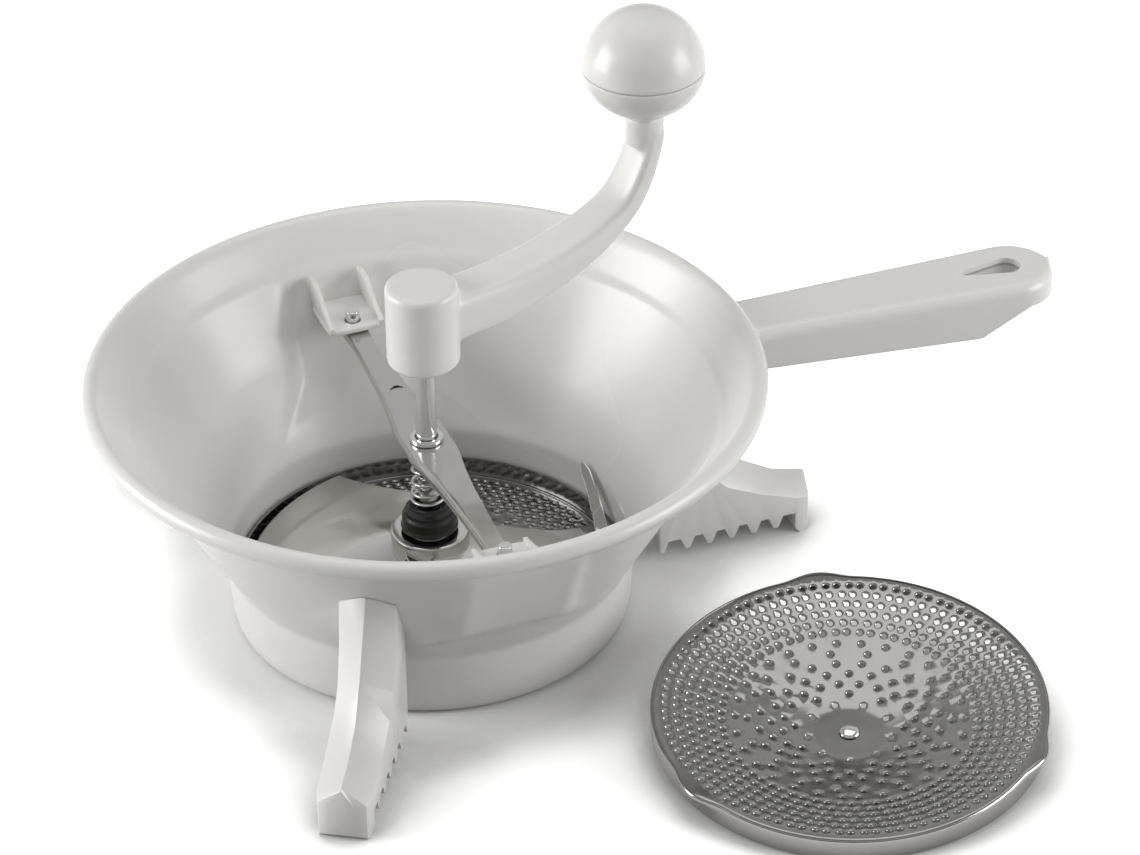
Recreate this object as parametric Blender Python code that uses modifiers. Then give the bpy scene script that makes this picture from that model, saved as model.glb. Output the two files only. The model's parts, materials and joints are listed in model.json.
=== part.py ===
"""Hand cranked food mill and its spare sieve disc, modelled in metres with +Z up.

The mill stands on its base ring and three feet at z = 0. In the mill's own frame the crank
axis is Z, the handle runs along +X and the bridge bar along Y. One empty carries the whole
set and puts the origin under the middle of its box.
"""
import math

import bmesh
import bpy
from mathutils import Matrix, Vector

# Clearances and cutting
GAP = 0.0003                  # between pieces that touch or are cut to each other
PIN_PLAY = 0.0004             # round a pin that drops into a moulded hole
CUT_OVERRUN = 0.0040          # how far a cutter runs past what it cuts
WELD = 0.00001
SHARP_ANGLE = math.radians(35)
TURN_STEPS = 48
BALL_TURN_STEPS = 28
SMALL_TURN_STEPS = 16

# Bowl: radii of the inner face, with a wall that is measured level
RIM_R = 0.1200
RIM_TOP_Z = 0.0961
BEAD_R = 0.0034
BEAD_LIP_SHARE = 0.41         # height of the bead's inner lip, of its radius
FLANGE_W = 0.0079             # of the band between the bead's lip and the step
FLANGE_DROP = 0.0132          # from the rim's top down to the step
FLANGE_SAG = 0.0005
STEP_RUN = 0.0020
STEP_DROP = 0.0014
CONE_Z = 0.0260
SEAT_FLARE = 0.0016           # how much wider the cone starts than the disc's seat
BOWL_WALL = 0.0020
LEDGE_Z = 0.0073
LEDGE_WALL = 0.0018
LEDGE_W = 0.0045
BASE_ROUND_W = 0.0036
BASE_ROUND_H = 0.0050
# how far in and how high the rounded foot's points lie
BASE_ROUND_SHARES = ((0.2, 0.5), (0.5, 0.18), (1.0, 0.0))
BASE_FACE_W = 0.0024
BEAD_ARC_STEPS = 8
BEAD_ARC_END = math.radians(-110)

# Pockets that hold the brackets: drafted bulges at both sides of the bowl
POCKET_HALF_W = 0.0200
POCKET_DROP = 0.0049          # from the step down to the pocket's top
POCKET_H = 0.0340
POCKET_LOW_R = 0.0860
POCKET_RUN = 0.0168           # how much further out its top lies than its foot
POCKET_DEPTH = 0.0120
POCKET_DRAFT = math.radians(45)

# Brackets: a shelf and two gusset fins in each pocket
SHELF_HALF_W = 0.01075
SHELF_WALL = 0.0025
SHELF_REACH = 0.0110          # from the pocket's foot in towards the axis
FIN_OFFSET = 0.0094
FIN_WALL = 0.0018
FIN_LIP_H = 0.0036
FIN_TIP_RUN = 0.0170          # from the shelf's lip out to the fin's tip
FIN_TIP_H = 0.0122

# Handle
HANDLE_REACH = 0.2370
HANDLE_ROOT_HALF_W = 0.0106
HANDLE_TIP_HALF_W = 0.0140
HANDLE_DROP = 0.0068          # of its root's top under the rim's top
HANDLE_FALL = 0.0027          # of its top face from root to tip
HANDLE_ROOT_DEPTH = 0.0130
HANDLE_HEEL_RUN = 0.0180      # from the heel to the lip
HANDLE_HEEL_DEPTH = 0.0167
HANDLE_LIP_RUN = 0.0120       # from the lip to the tip
HANDLE_LIP_DEPTH = 0.0068
HANDLE_WALL = 0.0022
HANDLE_RIB_WALL = 0.0016
HANDLE_RIB_RUNS = (0.0400, 0.0790)    # from the rim out to each cross rib
HANDLE_TIP_STEPS = 12
SLOT_FROM_TIP = 0.0096
SLOT_LENGTH = 0.0229
SLOT_NARROW_HALF_W = 0.0018
SLOT_WIDE_HALF_W = 0.0052
SLOT_COLLAR_WALL = 0.0018
SLOT_ARC_STEPS = 6

# Feet: hollow roofed legs with a toothed edge that grips a pan
FOOT_AZIMUTHS = {
    "side_foot": 0.0,
    "front_foot": math.radians(-121.5),
    "rear_foot": math.radians(121.5),
}
FOOT_REACH = 0.1435
FOOT_RISE = 0.0682
FOOT_HALF_W = 0.0098
FOOT_WALL = 0.0020
FOOT_TOE_LENGTH = 0.0070
FOOT_TOE_BEVEL = 0.0020
FOOT_SOLID_LENGTH = 0.0095
# ridge radius and height, eave radius and height, half width, as shares
# of the foot's reach, rise and half width, from the bowl to the toe
FOOT_STATION_SHARES = (
    (0.585, 1.005, 0.585, 0.945, 1.00),
    (0.678, 1.000, 0.668, 0.930, 1.00),
    (0.725, 0.806, 0.686, 0.690, 1.00),
    (0.774, 0.616, 0.718, 0.491, 1.00),
    (0.830, 0.447, 0.767, 0.389, 1.00),
    (0.913, 0.345, 0.857, 0.300, 1.00),
    (0.966, 0.316, 0.958, 0.224, 1.00),
    (0.991, 0.305, 0.989, 0.204, 0.86),
    (1.000, 0.298, 1.000, 0.196, 0.53),
)
TOOTH_COUNT = 5
TOOTH_PITCH = 0.0086
TOOTH_FIRST_R = 0.1290
TOOTH_TIP_Z = 0.0042
TOOTH_ROOT_Z = 0.0087
TOOTH_TIP_HALF_W = 0.0009
TOOTH_ROOT_HALF_W = 0.0028
HEEL_STEP_R = 0.0872
HEEL_STEP_RUN = 0.0016

# Bridge bar, with one long edge folded down
BAR_DROP = 0.0278             # from the rim's top down to the bar
BAR_END = 0.0060              # from a pin's axis to the bar's end
BAR_MARGIN = 0.0025           # beside the bush's flange
BAR_WALL = 0.0012
BAR_FOLD_R = 0.0014
BAR_SKIRT = 0.0022            # straight part of the fold under its round
# distance along the bar, half width and depth of the fold, as shares
BAR_STATION_SHARES = (
    (0.00, 1.00, 1.00),
    (0.10, 1.00, 1.00),
    (0.20, 0.86, 0.98),
    (0.29, 0.74, 0.95),
    (0.40, 0.64, 0.92),
    (0.57, 0.53, 0.86),
    (0.78, 0.45, 0.80),
    (0.97, 0.44, 0.78),
    (1.00, 0.36, 0.74),
)
FOLD_STEPS = 3

# Pins riveted in the bar
BAR_PIN_R = 0.0025
BAR_PIN_H = 0.0067
BAR_PIN_FROM_LIP = 0.0060
BAR_PIN_STEM_R = 0.0015
BAR_PIN_TAIL_R = 0.0023
BAR_PIN_TAIL_H = 0.0009

# Bush in the middle of the bar
BUSH_R = 0.0048
BUSH_FLANGE_R = 0.0060
BUSH_FLANGE_H = 0.0016
BUSH_SWAGE_R = 0.0056
BUSH_SWAGE_H = 0.0009

# Sieve discs: rim at the bottom and skirt up when fitted
DISC_R = 0.0686
DISC_SHEET = 0.0008
DISC_SKIRT_H = 0.0082
DISC_ROUND = 0.0012
DISC_SEAT_PLAY = 0.0004
DISC_RIM_W = 0.0033
DISH_DEPTH = 0.0132
DISH_POWER = 1.1
DISH_STEPS = 3
DISC_TURN_STEPS = 30
BOSS_R = 0.0126
SIEVE_HOLE_R = 0.0020
SIEVE_HOLE_SIDES = 6
SIEVE_RING_RADII = (0.0600, 0.0520)
SIEVE_RING_HOLES = 30
# one sixth of the inner rosette: distance from the axis as a share of the
# innermost full ring, and the angle in steps of the full rings
ROSETTE_SHARES = ((0.82, 0.0), (0.62, 1.5), (0.42, 0.0))
ROSETTE_FOLDS = 6
LUG_COUNT = 3
LUG_FIRST_AZIMUTH = math.radians(43)
LUG_R = 0.0085
LUG_OUT = 0.0026
LUG_H = 0.0052

# Button riveted in each disc's boss
BUTTON_HEAD_LIP = 0.0016      # how far the head reaches past the stem
BUTTON_HEAD_H = 0.0015
# the head's edge and shoulder: distance from the axis and drop from its back
BUTTON_DOME_SHARES = ((1.0, 0.0), (1.0, 0.33), (0.75, 0.8), (0.0, 1.0))
BUTTON_STEM_R = 0.0020
BUTTON_TAIL_R = 0.0030
BUTTON_TAIL_H = 0.0008

# Spare disc: beside the mill, skirt down, leaning on its rim and its button
SPARE_X = 0.1055
SPARE_Y = -0.1335
SPARE_LEAN_AZIMUTH = math.radians(-110)

# Blade: a dished middle with two wings that lie over the sieve's dome
BLADE_MARGIN = 0.0026         # inside the disc's edge
BLADE_SHEET = 0.0010
BLADE_DISH_R = 0.0140
BLADE_DISH_ROUND = 0.0012
BLADE_DISH_WALL = 0.0012
BLADE_CLEARANCE = 0.0008
WING_TRAIL_LIFT = 0.0014
WING_LEAD_LIFT = 0.0071
WING_STEPS = 8
WING_LIFT_POWER = 1.3
# distance from the axis as a share of the blade's radius, then the wing's
# leading and trailing edge as azimuths in degrees
WING_ROW_SHARES = (
    (0.204, -150.0, 28.0),
    (0.300, -129.0, 22.0),
    (0.430, -106.5, 16.5),
    (0.575, -91.5, 9.0),
    (0.720, -84.2, 5.5),
    (0.870, -80.6, 6.5),
    (1.000, -78.7, 8.0),
)

# Scraper finger on one wing: centre line, half width and lean, as shares of
# the blade's radius (x, y and half width) and of the finger's rise
FINGER_OVER = 0.0107          # how much higher it rises than the leading edge
FINGER_SLOPE_SHARE = 0.55     # how steeply it rises along its run
FINGER_SHARES = (
    (0.950, -0.150, 0.00, 0.030, 0.00),
    (0.966, -0.060, 0.22, 0.034, 0.15),
    (0.982, 0.060, 0.52, 0.032, 0.30),
    (0.995, 0.190, 0.78, 0.026, 0.35),
    (0.998, 0.300, 0.97, 0.019, 0.35),
    (0.998, 0.330, 1.02, 0.008, 0.35),
)

# Shaft, its end nut and the pieces threaded on it
SHAFT_R = 0.0037
SHAFT_PLAY = 0.0003
SHAFT_CHAMFER = 0.0005
NUT_R = 0.0052
NUT_H = 0.0020
NUT_FLOOR = 0.0007
BLADE_HUB_R = 0.0072
BLADE_HUB_H = 0.0044
WASHER_R = 0.0080
WASHER_H = 0.0007
CUP_R = 0.0102
CUP_LOW_H = 0.0078
CUP_TOP_R = 0.0088
CUP_TOP_H = 0.0016
CUP_STEP_H = 0.0009

# Pressure spring: conical coil between the cup and the bush
SPRING_WIRE_R = 0.0006
SPRING_LOW_R = 0.0060
SPRING_HIGH_R = 0.0050
SPRING_TURNS = 6
SPRING_POINTS_PER_TURN = 9
SPRING_DEAD_SHARE = 0.6       # how flat the end turns lie, 1 is an even pitch

# Crank arm
HUB_R = 0.01285
HUB_LIFT = 0.0051             # of the hub's foot over the rim
HUB_H = 0.0310
HUB_ROUND = 0.0016
# the upper edge's points: distance in from the side and down from the top
HUB_ROUND_SHARES = ((2.0, 0.0), (0.4, 0.6), (0.0, 2.0))
HUB_SOCKET_FLOOR = 0.0080
ARM_AZIMUTH = math.radians(13.5)
ARM_SPAN = 0.08105            # from the hub's side to the knob's axis
ARM_RISE = 0.0626
ARM_HALF_W = 0.0095
ARM_EDGE = 0.0018
# upper line (reach, rise), lower line (reach, rise) and half width as shares
ARM_STATION_SHARES = (
    (0.000, 0.412, 0.000, 0.125, 1.00),
    (0.150, 0.412, 0.150, 0.128, 1.00),
    (0.298, 0.412, 0.320, 0.136, 0.99),
    (0.437, 0.431, 0.447, 0.177, 0.97),
    (0.554, 0.460, 0.580, 0.233, 0.95),
    (0.703, 0.519, 0.745, 0.337, 0.91),
    (0.799, 0.580, 0.852, 0.444, 0.87),
    (0.863, 0.645, 0.932, 0.556, 0.85),
    (0.918, 0.765, 0.994, 0.708, 0.83),
    (0.958, 0.904, 1.036, 0.890, 0.81),
    (0.980, 1.000, 1.052, 1.000, 0.78),
)
NECK_R = 0.0070
NECK_SUNK = 0.0060            # how far the neck reaches down into the arm
NECK_H = 0.0059

# Knob: two mouldings that meet round the middle of the ball
KNOB_R = 0.0217
KNOB_LOW_H = 0.0180
KNOB_WALL = 0.0022
KNOB_FOOT_SHARE = 0.42        # flat foot of the lower half, of the knob's radius
KNOB_FOOT_EDGE = 0.0009
KNOB_FLOOR_R = 0.0088         # flat floor inside the lower half
KNOB_SEAM_EDGE = 0.0005
KNOB_ARC_STEPS = 7
KNOB_INNER_STEPS = 5
KNOB_TUBE_R = 0.0055
KNOB_TUBE_H = 0.0080
SPINDLE_R = 0.0022
SPINDLE_SUNK = 0.0112
SPINDLE_HEAD_R = 0.0036
SPINDLE_HEAD_H = 0.0014
CLIP_R = 0.0055
CLIP_H = 0.0010

# Derived places, all in the mill's frame
FLANGE_R = RIM_R - 2 * BEAD_R - FLANGE_W
FLANGE_Z = RIM_TOP_Z - FLANGE_DROP
SEAT_R = DISC_R + DISC_SEAT_PLAY
CONE_R = SEAT_R + SEAT_FLARE
OUTLET_R = SEAT_R - LEDGE_W
POCKET_HIGH_Z = FLANGE_Z - POCKET_DROP
POCKET_LOW_Z = POCKET_HIGH_Z - POCKET_H
SHELF_LIP_R = POCKET_LOW_R - SHELF_REACH
HANDLE_ROOT_TOP_Z = RIM_TOP_Z - HANDLE_DROP
HANDLE_LIP_R = HANDLE_REACH - HANDLE_LIP_RUN
HANDLE_HEEL_R = HANDLE_LIP_R - HANDLE_HEEL_RUN
BAR_TOP_Z = RIM_TOP_Z - BAR_DROP
BAR_PIN_FROM_AXIS = SHELF_LIP_R + BAR_PIN_FROM_LIP
BAR_REACH = BAR_PIN_FROM_AXIS + BAR_END
BAR_HALF_W = BUSH_FLANGE_R + BAR_MARGIN
BAR_FOLD_DEPTH = BAR_FOLD_R + BAR_SKIRT
BLADE_R = DISC_R - BLADE_MARGIN
DISH_R = DISC_R - DISC_RIM_W
BUTTON_HEAD_R = BUTTON_STEM_R + BUTTON_HEAD_LIP
FINGER_RISE = WING_LEAD_LIFT + FINGER_OVER
DISC_Z = LEDGE_Z + GAP
RIM_PLANE_Z = DISC_Z + DISC_SHEET
BOSS_Z = RIM_PLANE_Z + DISH_DEPTH
SHAFT_BORE_R = SHAFT_R + SHAFT_PLAY
NUT_LOW_Z = BOSS_Z + GAP + BUTTON_TAIL_H + GAP
NUT_TOP_Z = NUT_LOW_Z + NUT_H
BLADE_HUB_LOW_Z = NUT_TOP_Z + GAP
BLADE_HUB_TOP_Z = BLADE_HUB_LOW_Z + BLADE_HUB_H
BLADE_DISH_TOP_Z = BLADE_HUB_TOP_Z + GAP + BLADE_SHEET
WASHER_Z = BLADE_DISH_TOP_Z + GAP
CUP_Z = WASHER_Z + WASHER_H + GAP
CUP_TOP_Z = CUP_Z + CUP_LOW_H + CUP_TOP_H
SHELF_Z = BAR_TOP_Z + GAP
BUSH_LOW_Z = BAR_TOP_Z - BAR_WALL - GAP - BUSH_SWAGE_H
SPRING_LOW_Z = CUP_TOP_Z + GAP + SPRING_WIRE_R
SPRING_HIGH_Z = BUSH_LOW_Z - GAP - SPRING_WIRE_R
HUB_LOW_Z = RIM_TOP_Z + HUB_LIFT
ARM_REACH = HUB_R + ARM_SPAN
ARM_END_Z = HUB_LOW_Z + ARM_RISE
NECK_TOP_Z = ARM_END_Z + NECK_H
KNOB_LOW_Z = NECK_TOP_Z + GAP
KNOB_Z = KNOB_LOW_Z + KNOB_LOW_H
SHAFT_TOP_Z = HUB_LOW_Z + HUB_H - HUB_SOCKET_FLOOR

WHITE_PLASTIC = ("moulded_white_plastic", (0.83, 0.83, 0.81), 0.30, 0.0)
BLACK_PLASTIC = ("moulded_black_plastic", (0.02, 0.02, 0.02), 0.40, 0.0)
POLISHED_STEEL = ("polished_stainless_steel", (0.66, 0.66, 0.65), 0.16, 1.0)
SPRING_STEEL = ("bright_spring_steel", (0.60, 0.60, 0.60), 0.22, 1.0)
TURNED_STEEL = ("turned_steel", (0.70, 0.70, 0.69), 0.18, 1.0)


# Scene and object helpers
def clear_scene():
    """Remove every object the file opened with."""
    for obj in list(bpy.data.objects):
        bpy.data.objects.remove(obj, do_unlink=True)


def make_collection(name):
    """A new collection linked to the scene."""
    collection = bpy.data.collections.new(name)
    bpy.context.scene.collection.children.link(collection)
    return collection


def make_material(name, finish):
    """One Principled material for one piece."""
    _, color, roughness, metallic = finish
    material = bpy.data.materials.new(name + "_" + finish[0])
    material.use_nodes = True
    shader = material.node_tree.nodes["Principled BSDF"]
    shader.inputs["Base Color"].default_value = (*color, 1.0)
    shader.inputs["Roughness"].default_value = roughness
    shader.inputs["Metallic"].default_value = metallic
    material.diffuse_color = (*color, 1.0)
    return material


class Workshop:
    """Holds the two collections and makes parts and cutters in them."""

    def __init__(self):
        self.parts = make_collection("food_mill")
        self.cutters = make_collection("food_mill_cutters")

    def empty(self, name, location=(0, 0, 0), rotation=(0, 0, 0), parent=None):
        """An empty that carries other pieces."""
        obj = bpy.data.objects.new(name, None)
        obj.location = location
        obj.rotation_euler = rotation
        obj.parent = parent
        self.parts.objects.link(obj)
        return obj

    def part(self, name, data, finish, parent, location=(0, 0, 0), rotation=(0, 0, 0)):
        """A visible piece with its own material."""
        obj = bpy.data.objects.new(name, data)
        obj.location = location
        obj.rotation_euler = rotation
        obj.parent = parent
        data.materials.clear()
        data.materials.append(make_material(name, finish))
        self.parts.objects.link(obj)
        return obj

    def cutter(self, name, data, location=(0, 0, 0), rotation=(0, 0, 0), parent=None):
        """A hidden body that only cuts or joins."""
        obj = bpy.data.objects.new(name, data)
        obj.location = location
        obj.rotation_euler = rotation
        obj.parent = parent
        obj.hide_render = True
        obj.display_type = "WIRE"
        self.cutters.objects.link(obj)
        return obj


def boolean(obj, other, operation):
    """Add a Boolean modifier to obj."""
    modifier = obj.modifiers.new(operation.lower() + "_" + other.name, "BOOLEAN")
    modifier.object = other
    modifier.operation = operation
    return modifier


def solid_mesh(name, vertices, faces):
    """A mesh from vertices and faces, welded, with its faces turned outwards."""
    mesh = bpy.data.meshes.new(name)
    mesh.from_pydata(vertices, [], faces)
    return tidy_mesh(mesh)


def tidy_mesh(mesh):
    """Weld doubles, face outwards and shade smooth with sharp edges kept."""
    bm = bmesh.new()
    bm.from_mesh(mesh)
    bmesh.ops.remove_doubles(bm, verts=bm.verts, dist=WELD)
    bmesh.ops.recalc_face_normals(bm, faces=bm.faces)
    bm.to_mesh(mesh)
    bm.free()
    mesh.shade_smooth()
    mesh.set_sharp_from_angle(angle=SHARP_ANGLE)
    return mesh


def evaluated_mesh(obj, name):
    """The mesh of an object with its modifiers applied, in its own space."""
    depsgraph = bpy.context.evaluated_depsgraph_get()
    mesh = bpy.data.meshes.new_from_object(obj.evaluated_get(depsgraph))
    mesh.name = name
    return mesh


# Shapes
def outline_mesh(name, outline):
    """Edges of a turned profile in the XZ plane, closed unless both ends lie on the axis."""
    mesh = bpy.data.meshes.new(name)
    count = len(outline)
    edges = [(i, i + 1) for i in range(count - 1)]
    if outline[0][0] != 0 or outline[-1][0] != 0:
        edges.append((count - 1, 0))
    mesh.from_pydata([(r, 0, z) for r, z in outline], edges, [])
    return mesh


def turn(obj, steps):
    """Turn a profile about the object's Z axis."""
    screw = obj.modifiers.new("turn", "SCREW")
    screw.axis = "Z"
    screw.steps = steps
    screw.render_steps = steps
    screw.use_merge_vertices = True
    screw.merge_threshold = WELD
    screw.use_smooth_shade = True
    return obj


def slab_mesh(shop, name, outline, thickness):
    """A flat outline with a thickness, centred on its plane: a filled 2D curve made a mesh."""
    curve = bpy.data.curves.new(name, "CURVE")
    curve.dimensions = "2D"
    curve.fill_mode = "BOTH"
    curve.extrude = thickness / 2
    spline = curve.splines.new("POLY")
    spline.points.add(len(outline) - 1)
    for point, (u, v) in zip(spline.points, outline):
        point.co = (u, v, 0, 1)
    spline.use_cyclic_u = True
    obj = shop.cutter(name + "_outline", curve)
    mesh = evaluated_mesh(obj, name)
    bpy.data.objects.remove(obj, do_unlink=True)
    return tidy_mesh(mesh)


def box_mesh(name, low, high):
    """A box between two corners."""
    bm = bmesh.new()
    bmesh.ops.create_cube(bm, size=1)
    size = [b - a for a, b in zip(low, high)]
    centre = [(a + b) / 2 for a, b in zip(low, high)]
    bmesh.ops.scale(bm, vec=size, verts=bm.verts)
    bmesh.ops.translate(bm, vec=centre, verts=bm.verts)
    mesh = bpy.data.meshes.new(name)
    bm.to_mesh(mesh)
    bm.free()
    return mesh


def rods_mesh(name, places, radius, low, high, sides):
    """Upright rods at the given places, as one mesh of separate bodies."""
    bm = bmesh.new()
    for x, y in places:
        matrix = Matrix.Translation((x, y, (low + high) / 2))
        bmesh.ops.create_cone(bm, cap_ends=True, segments=sides, radius1=radius,
                              radius2=radius, depth=high - low, matrix=matrix)
    mesh = bpy.data.meshes.new(name)
    bm.to_mesh(mesh)
    bm.free()
    return mesh


def loft_mesh(name, rings):
    """Skin between rings of as many points each, with a flat cap at both ends."""
    count = len(rings[0])
    vertices = [point for ring in rings for point in ring]
    faces = []
    for k in range(len(rings) - 1):
        for i in range(count):
            j = (i + 1) % count
            faces.append((k * count + i, k * count + j, (k + 1) * count + j, (k + 1) * count + i))
    faces.append(tuple(range(count)))
    faces.append(tuple(range((len(rings) - 1) * count, len(rings) * count)))
    return solid_mesh(name, vertices, faces)


def grid_mesh(name, rows):
    """An open sheet through rows of as many points each."""
    count = len(rows[0])
    vertices = [point for row in rows for point in row]
    faces = []
    for k in range(len(rows) - 1):
        for i in range(count - 1):
            a = k * count + i
            faces.append((a, a + 1, a + count + 1, a + count))
    mesh = bpy.data.meshes.new(name)
    mesh.from_pydata(vertices, [], faces)
    mesh.shade_smooth()
    return mesh


def solidify(obj, thickness, offset):
    """Give a sheet its thickness."""
    modifier = obj.modifiers.new("sheet", "SOLIDIFY")
    modifier.thickness = thickness
    modifier.offset = offset
    modifier.use_even_offset = True
    return modifier


def arc(centre, radius, start, end, steps):
    """Points (u, v) on an arc, both ends included."""
    points = []
    for i in range(steps + 1):
        angle = start + (end - start) * i / steps
        points.append((centre[0] + radius * math.cos(angle), centre[1] + radius * math.sin(angle)))
    return points


# Bowl
def bowl_inner_line(offset=0.0):
    """Points down the inner face from the bead's lip to the seat, moved out by offset."""
    lip_r = RIM_R - 2 * BEAD_R
    lip_z = RIM_TOP_Z - BEAD_R + BEAD_R * BEAD_LIP_SHARE
    middle = ((lip_r + FLANGE_R) / 2 + FLANGE_SAG, (lip_z + FLANGE_Z) / 2 - FLANGE_SAG)
    line = [
        (lip_r, lip_z),
        middle,
        (FLANGE_R, FLANGE_Z),
        (FLANGE_R - STEP_RUN, FLANGE_Z - STEP_DROP),
        (CONE_R, CONE_Z),
        (SEAT_R, LEDGE_Z),
    ]
    return [(r + offset, z) for r, z in line]


def bowl_outer_outline(offset=0.0):
    """Outline of the bowl as if it were full, grown by offset, from the axis round to the axis."""
    bead = (RIM_R - BEAD_R, RIM_TOP_Z - BEAD_R)
    lip_angle = math.pi - math.asin(BEAD_LIP_SHARE)
    lip_z = bead[1] + (BEAD_R + offset) * BEAD_LIP_SHARE
    outline = [(0, lip_z)]
    outline += arc(bead, BEAD_R + offset, lip_angle, BEAD_ARC_END, BEAD_ARC_STEPS)
    outline += bowl_inner_line(BOWL_WALL + offset)[1:]
    seat_outer = SEAT_R + BOWL_WALL + offset
    outline += [(seat_outer - BASE_ROUND_W * u, BASE_ROUND_H * v - offset) for u, v in BASE_ROUND_SHARES]
    outline.append((0, -offset))
    return outline


def bowl_cavity_outline():
    """Outline of everything that is cut out of the full bowl."""
    line = bowl_inner_line()
    top = RIM_TOP_Z + CUT_OVERRUN
    base_inner = SEAT_R + BOWL_WALL - BASE_ROUND_W - BASE_FACE_W
    under = LEDGE_Z - LEDGE_WALL
    return [(0, top), (line[0][0], top)] + line + [
        (OUTLET_R, LEDGE_Z),
        (OUTLET_R, under),
        (base_inner, under - (base_inner - OUTLET_R)),
        (base_inner, -CUT_OVERRUN),
        (0, -CUT_OVERRUN),
    ]


def pocket_face_r(z):
    """Distance of a pocket's outer face from the axis at height z."""
    return POCKET_LOW_R + (z - POCKET_LOW_Z) * POCKET_RUN / POCKET_H


def pocket_mesh(name, inset):
    """A drafted block on +Y: its flat face moved in by inset, its back deep in the bowl."""
    shrink = inset * math.tan(POCKET_DRAFT / 2)
    flare = POCKET_DEPTH * math.tan(POCKET_DRAFT)
    rings = []
    for depth, grow in ((0.0, 0.0), (POCKET_DEPTH, flare)):
        half = POCKET_HALF_W - shrink + grow
        low = POCKET_LOW_Z + shrink
        high = POCKET_HIGH_Z - shrink
        low_y = pocket_face_r(low) - inset - depth
        high_y = pocket_face_r(high) - inset - depth
        rings.append([
            (-half, low_y, low - grow), (half, low_y, low - grow),
            (half, high_y, high + grow), (-half, high_y, high + grow),
        ])
    return loft_mesh(name, rings)


def bracket_wall_r(z):
    """Middle of the wall behind a bracket: the pocket's face or the cone, whichever lies further out."""
    run = (z - CONE_Z) / (FLANGE_Z - STEP_DROP - CONE_Z)
    cone = CONE_R + (FLANGE_R - STEP_RUN - CONE_R) * run
    return max(pocket_face_r(z) - BOWL_WALL / 2, cone + BOWL_WALL / 2)


def fin_outline():
    """Side view (distance from the axis, height) of a bracket's gusset fin."""
    mid = SHELF_Z + SHELF_WALL / 2
    tip_z = SHELF_Z + FIN_TIP_H
    return [
        (SHELF_LIP_R, mid),
        (bracket_wall_r(mid), mid),
        (bracket_wall_r(tip_z), tip_z),
        (SHELF_LIP_R + FIN_TIP_RUN, tip_z),
        (SHELF_LIP_R, SHELF_Z + FIN_LIP_H),
    ]


def both_sides(mesh):
    """The mesh as it stands on +Y, joined by its copy turned half a turn about the axis."""
    bm = bmesh.new()
    bm.from_mesh(mesh)
    copy = bmesh.ops.duplicate(bm, geom=bm.verts[:] + bm.edges[:] + bm.faces[:])
    verts = [item for item in copy["geom"] if isinstance(item, bmesh.types.BMVert)]
    bmesh.ops.rotate(bm, verts=verts, cent=(0, 0, 0), matrix=Matrix.Rotation(math.pi, 3, "Z"))
    bm.to_mesh(mesh)
    bm.free()
    return mesh


def build_bowl(shop, frame):
    """The bowl with its rim, ledge, pockets and brackets."""
    bowl = shop.part("bowl", outline_mesh("bowl", bowl_outer_outline()), WHITE_PLASTIC, frame)
    turn(bowl, TURN_STEPS)
    blocks = shop.cutter("pocket_blocks", both_sides(pocket_mesh("pocket_blocks", 0.0)), parent=frame)
    boolean(bowl, blocks, "UNION")
    cavity = shop.cutter("bowl_cavity", outline_mesh("bowl_cavity", bowl_cavity_outline()), parent=frame)
    turn(cavity, TURN_STEPS)
    recesses = shop.cutter("pocket_recesses", both_sides(pocket_mesh("pocket_recesses", BOWL_WALL)),
                           parent=frame)
    boolean(cavity, recesses, "UNION")
    boolean(bowl, cavity, "DIFFERENCE")
    add_brackets(shop, frame, bowl)
    return bowl


def add_brackets(shop, frame, bowl):
    """Join the brackets' shelves and fins to the bowl and cut their pin holes."""
    top = SHELF_Z + SHELF_WALL
    wall_y = bracket_wall_r(SHELF_Z)
    shelf_mesh = box_mesh("shelves", (-SHELF_HALF_W, SHELF_LIP_R, SHELF_Z), (SHELF_HALF_W, wall_y, top))
    shelves = shop.cutter("shelves", both_sides(shelf_mesh), parent=frame)
    boolean(bowl, shelves, "UNION")
    for offset, hand in ((-FIN_OFFSET, "left"), (FIN_OFFSET, "right")):
        fin = slab_mesh(shop, "fins_" + hand, fin_outline(), FIN_WALL)
        fin.transform(Matrix(((0, 0, 1, offset), (1, 0, 0, 0), (0, 1, 0, 0), (0, 0, 0, 1))))
        fins = shop.cutter("fins_" + hand, both_sides(fin), parent=frame)
        boolean(bowl, fins, "UNION")
    places = [(0, -BAR_PIN_FROM_AXIS), (0, BAR_PIN_FROM_AXIS)]
    holes = shop.cutter("pin_holes", rods_mesh("pin_holes", places, BAR_PIN_R + PIN_PLAY,
                                               SHELF_Z - CUT_OVERRUN, top + CUT_OVERRUN,
                                               SMALL_TURN_STEPS), parent=frame)
    boolean(bowl, holes, "DIFFERENCE")


# Handle
def handle_top_z(x):
    """Height of the handle's top face."""
    run = (x - RIM_R) / (HANDLE_REACH - RIM_R)
    return HANDLE_ROOT_TOP_Z - HANDLE_FALL * run


def handle_plan(inset, start):
    """Plan of the handle from start to the round tip, moved in by inset."""
    tip_r = HANDLE_TIP_HALF_W - inset
    centre = (HANDLE_REACH - HANDLE_TIP_HALF_W, 0)
    outline = [(start, inset - HANDLE_ROOT_HALF_W), (RIM_R, inset - HANDLE_ROOT_HALF_W)]
    outline += arc(centre, tip_r, -math.pi / 2, math.pi / 2, HANDLE_TIP_STEPS)
    outline += [(RIM_R, HANDLE_ROOT_HALF_W - inset), (start, HANDLE_ROOT_HALF_W - inset)]
    return outline


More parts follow.
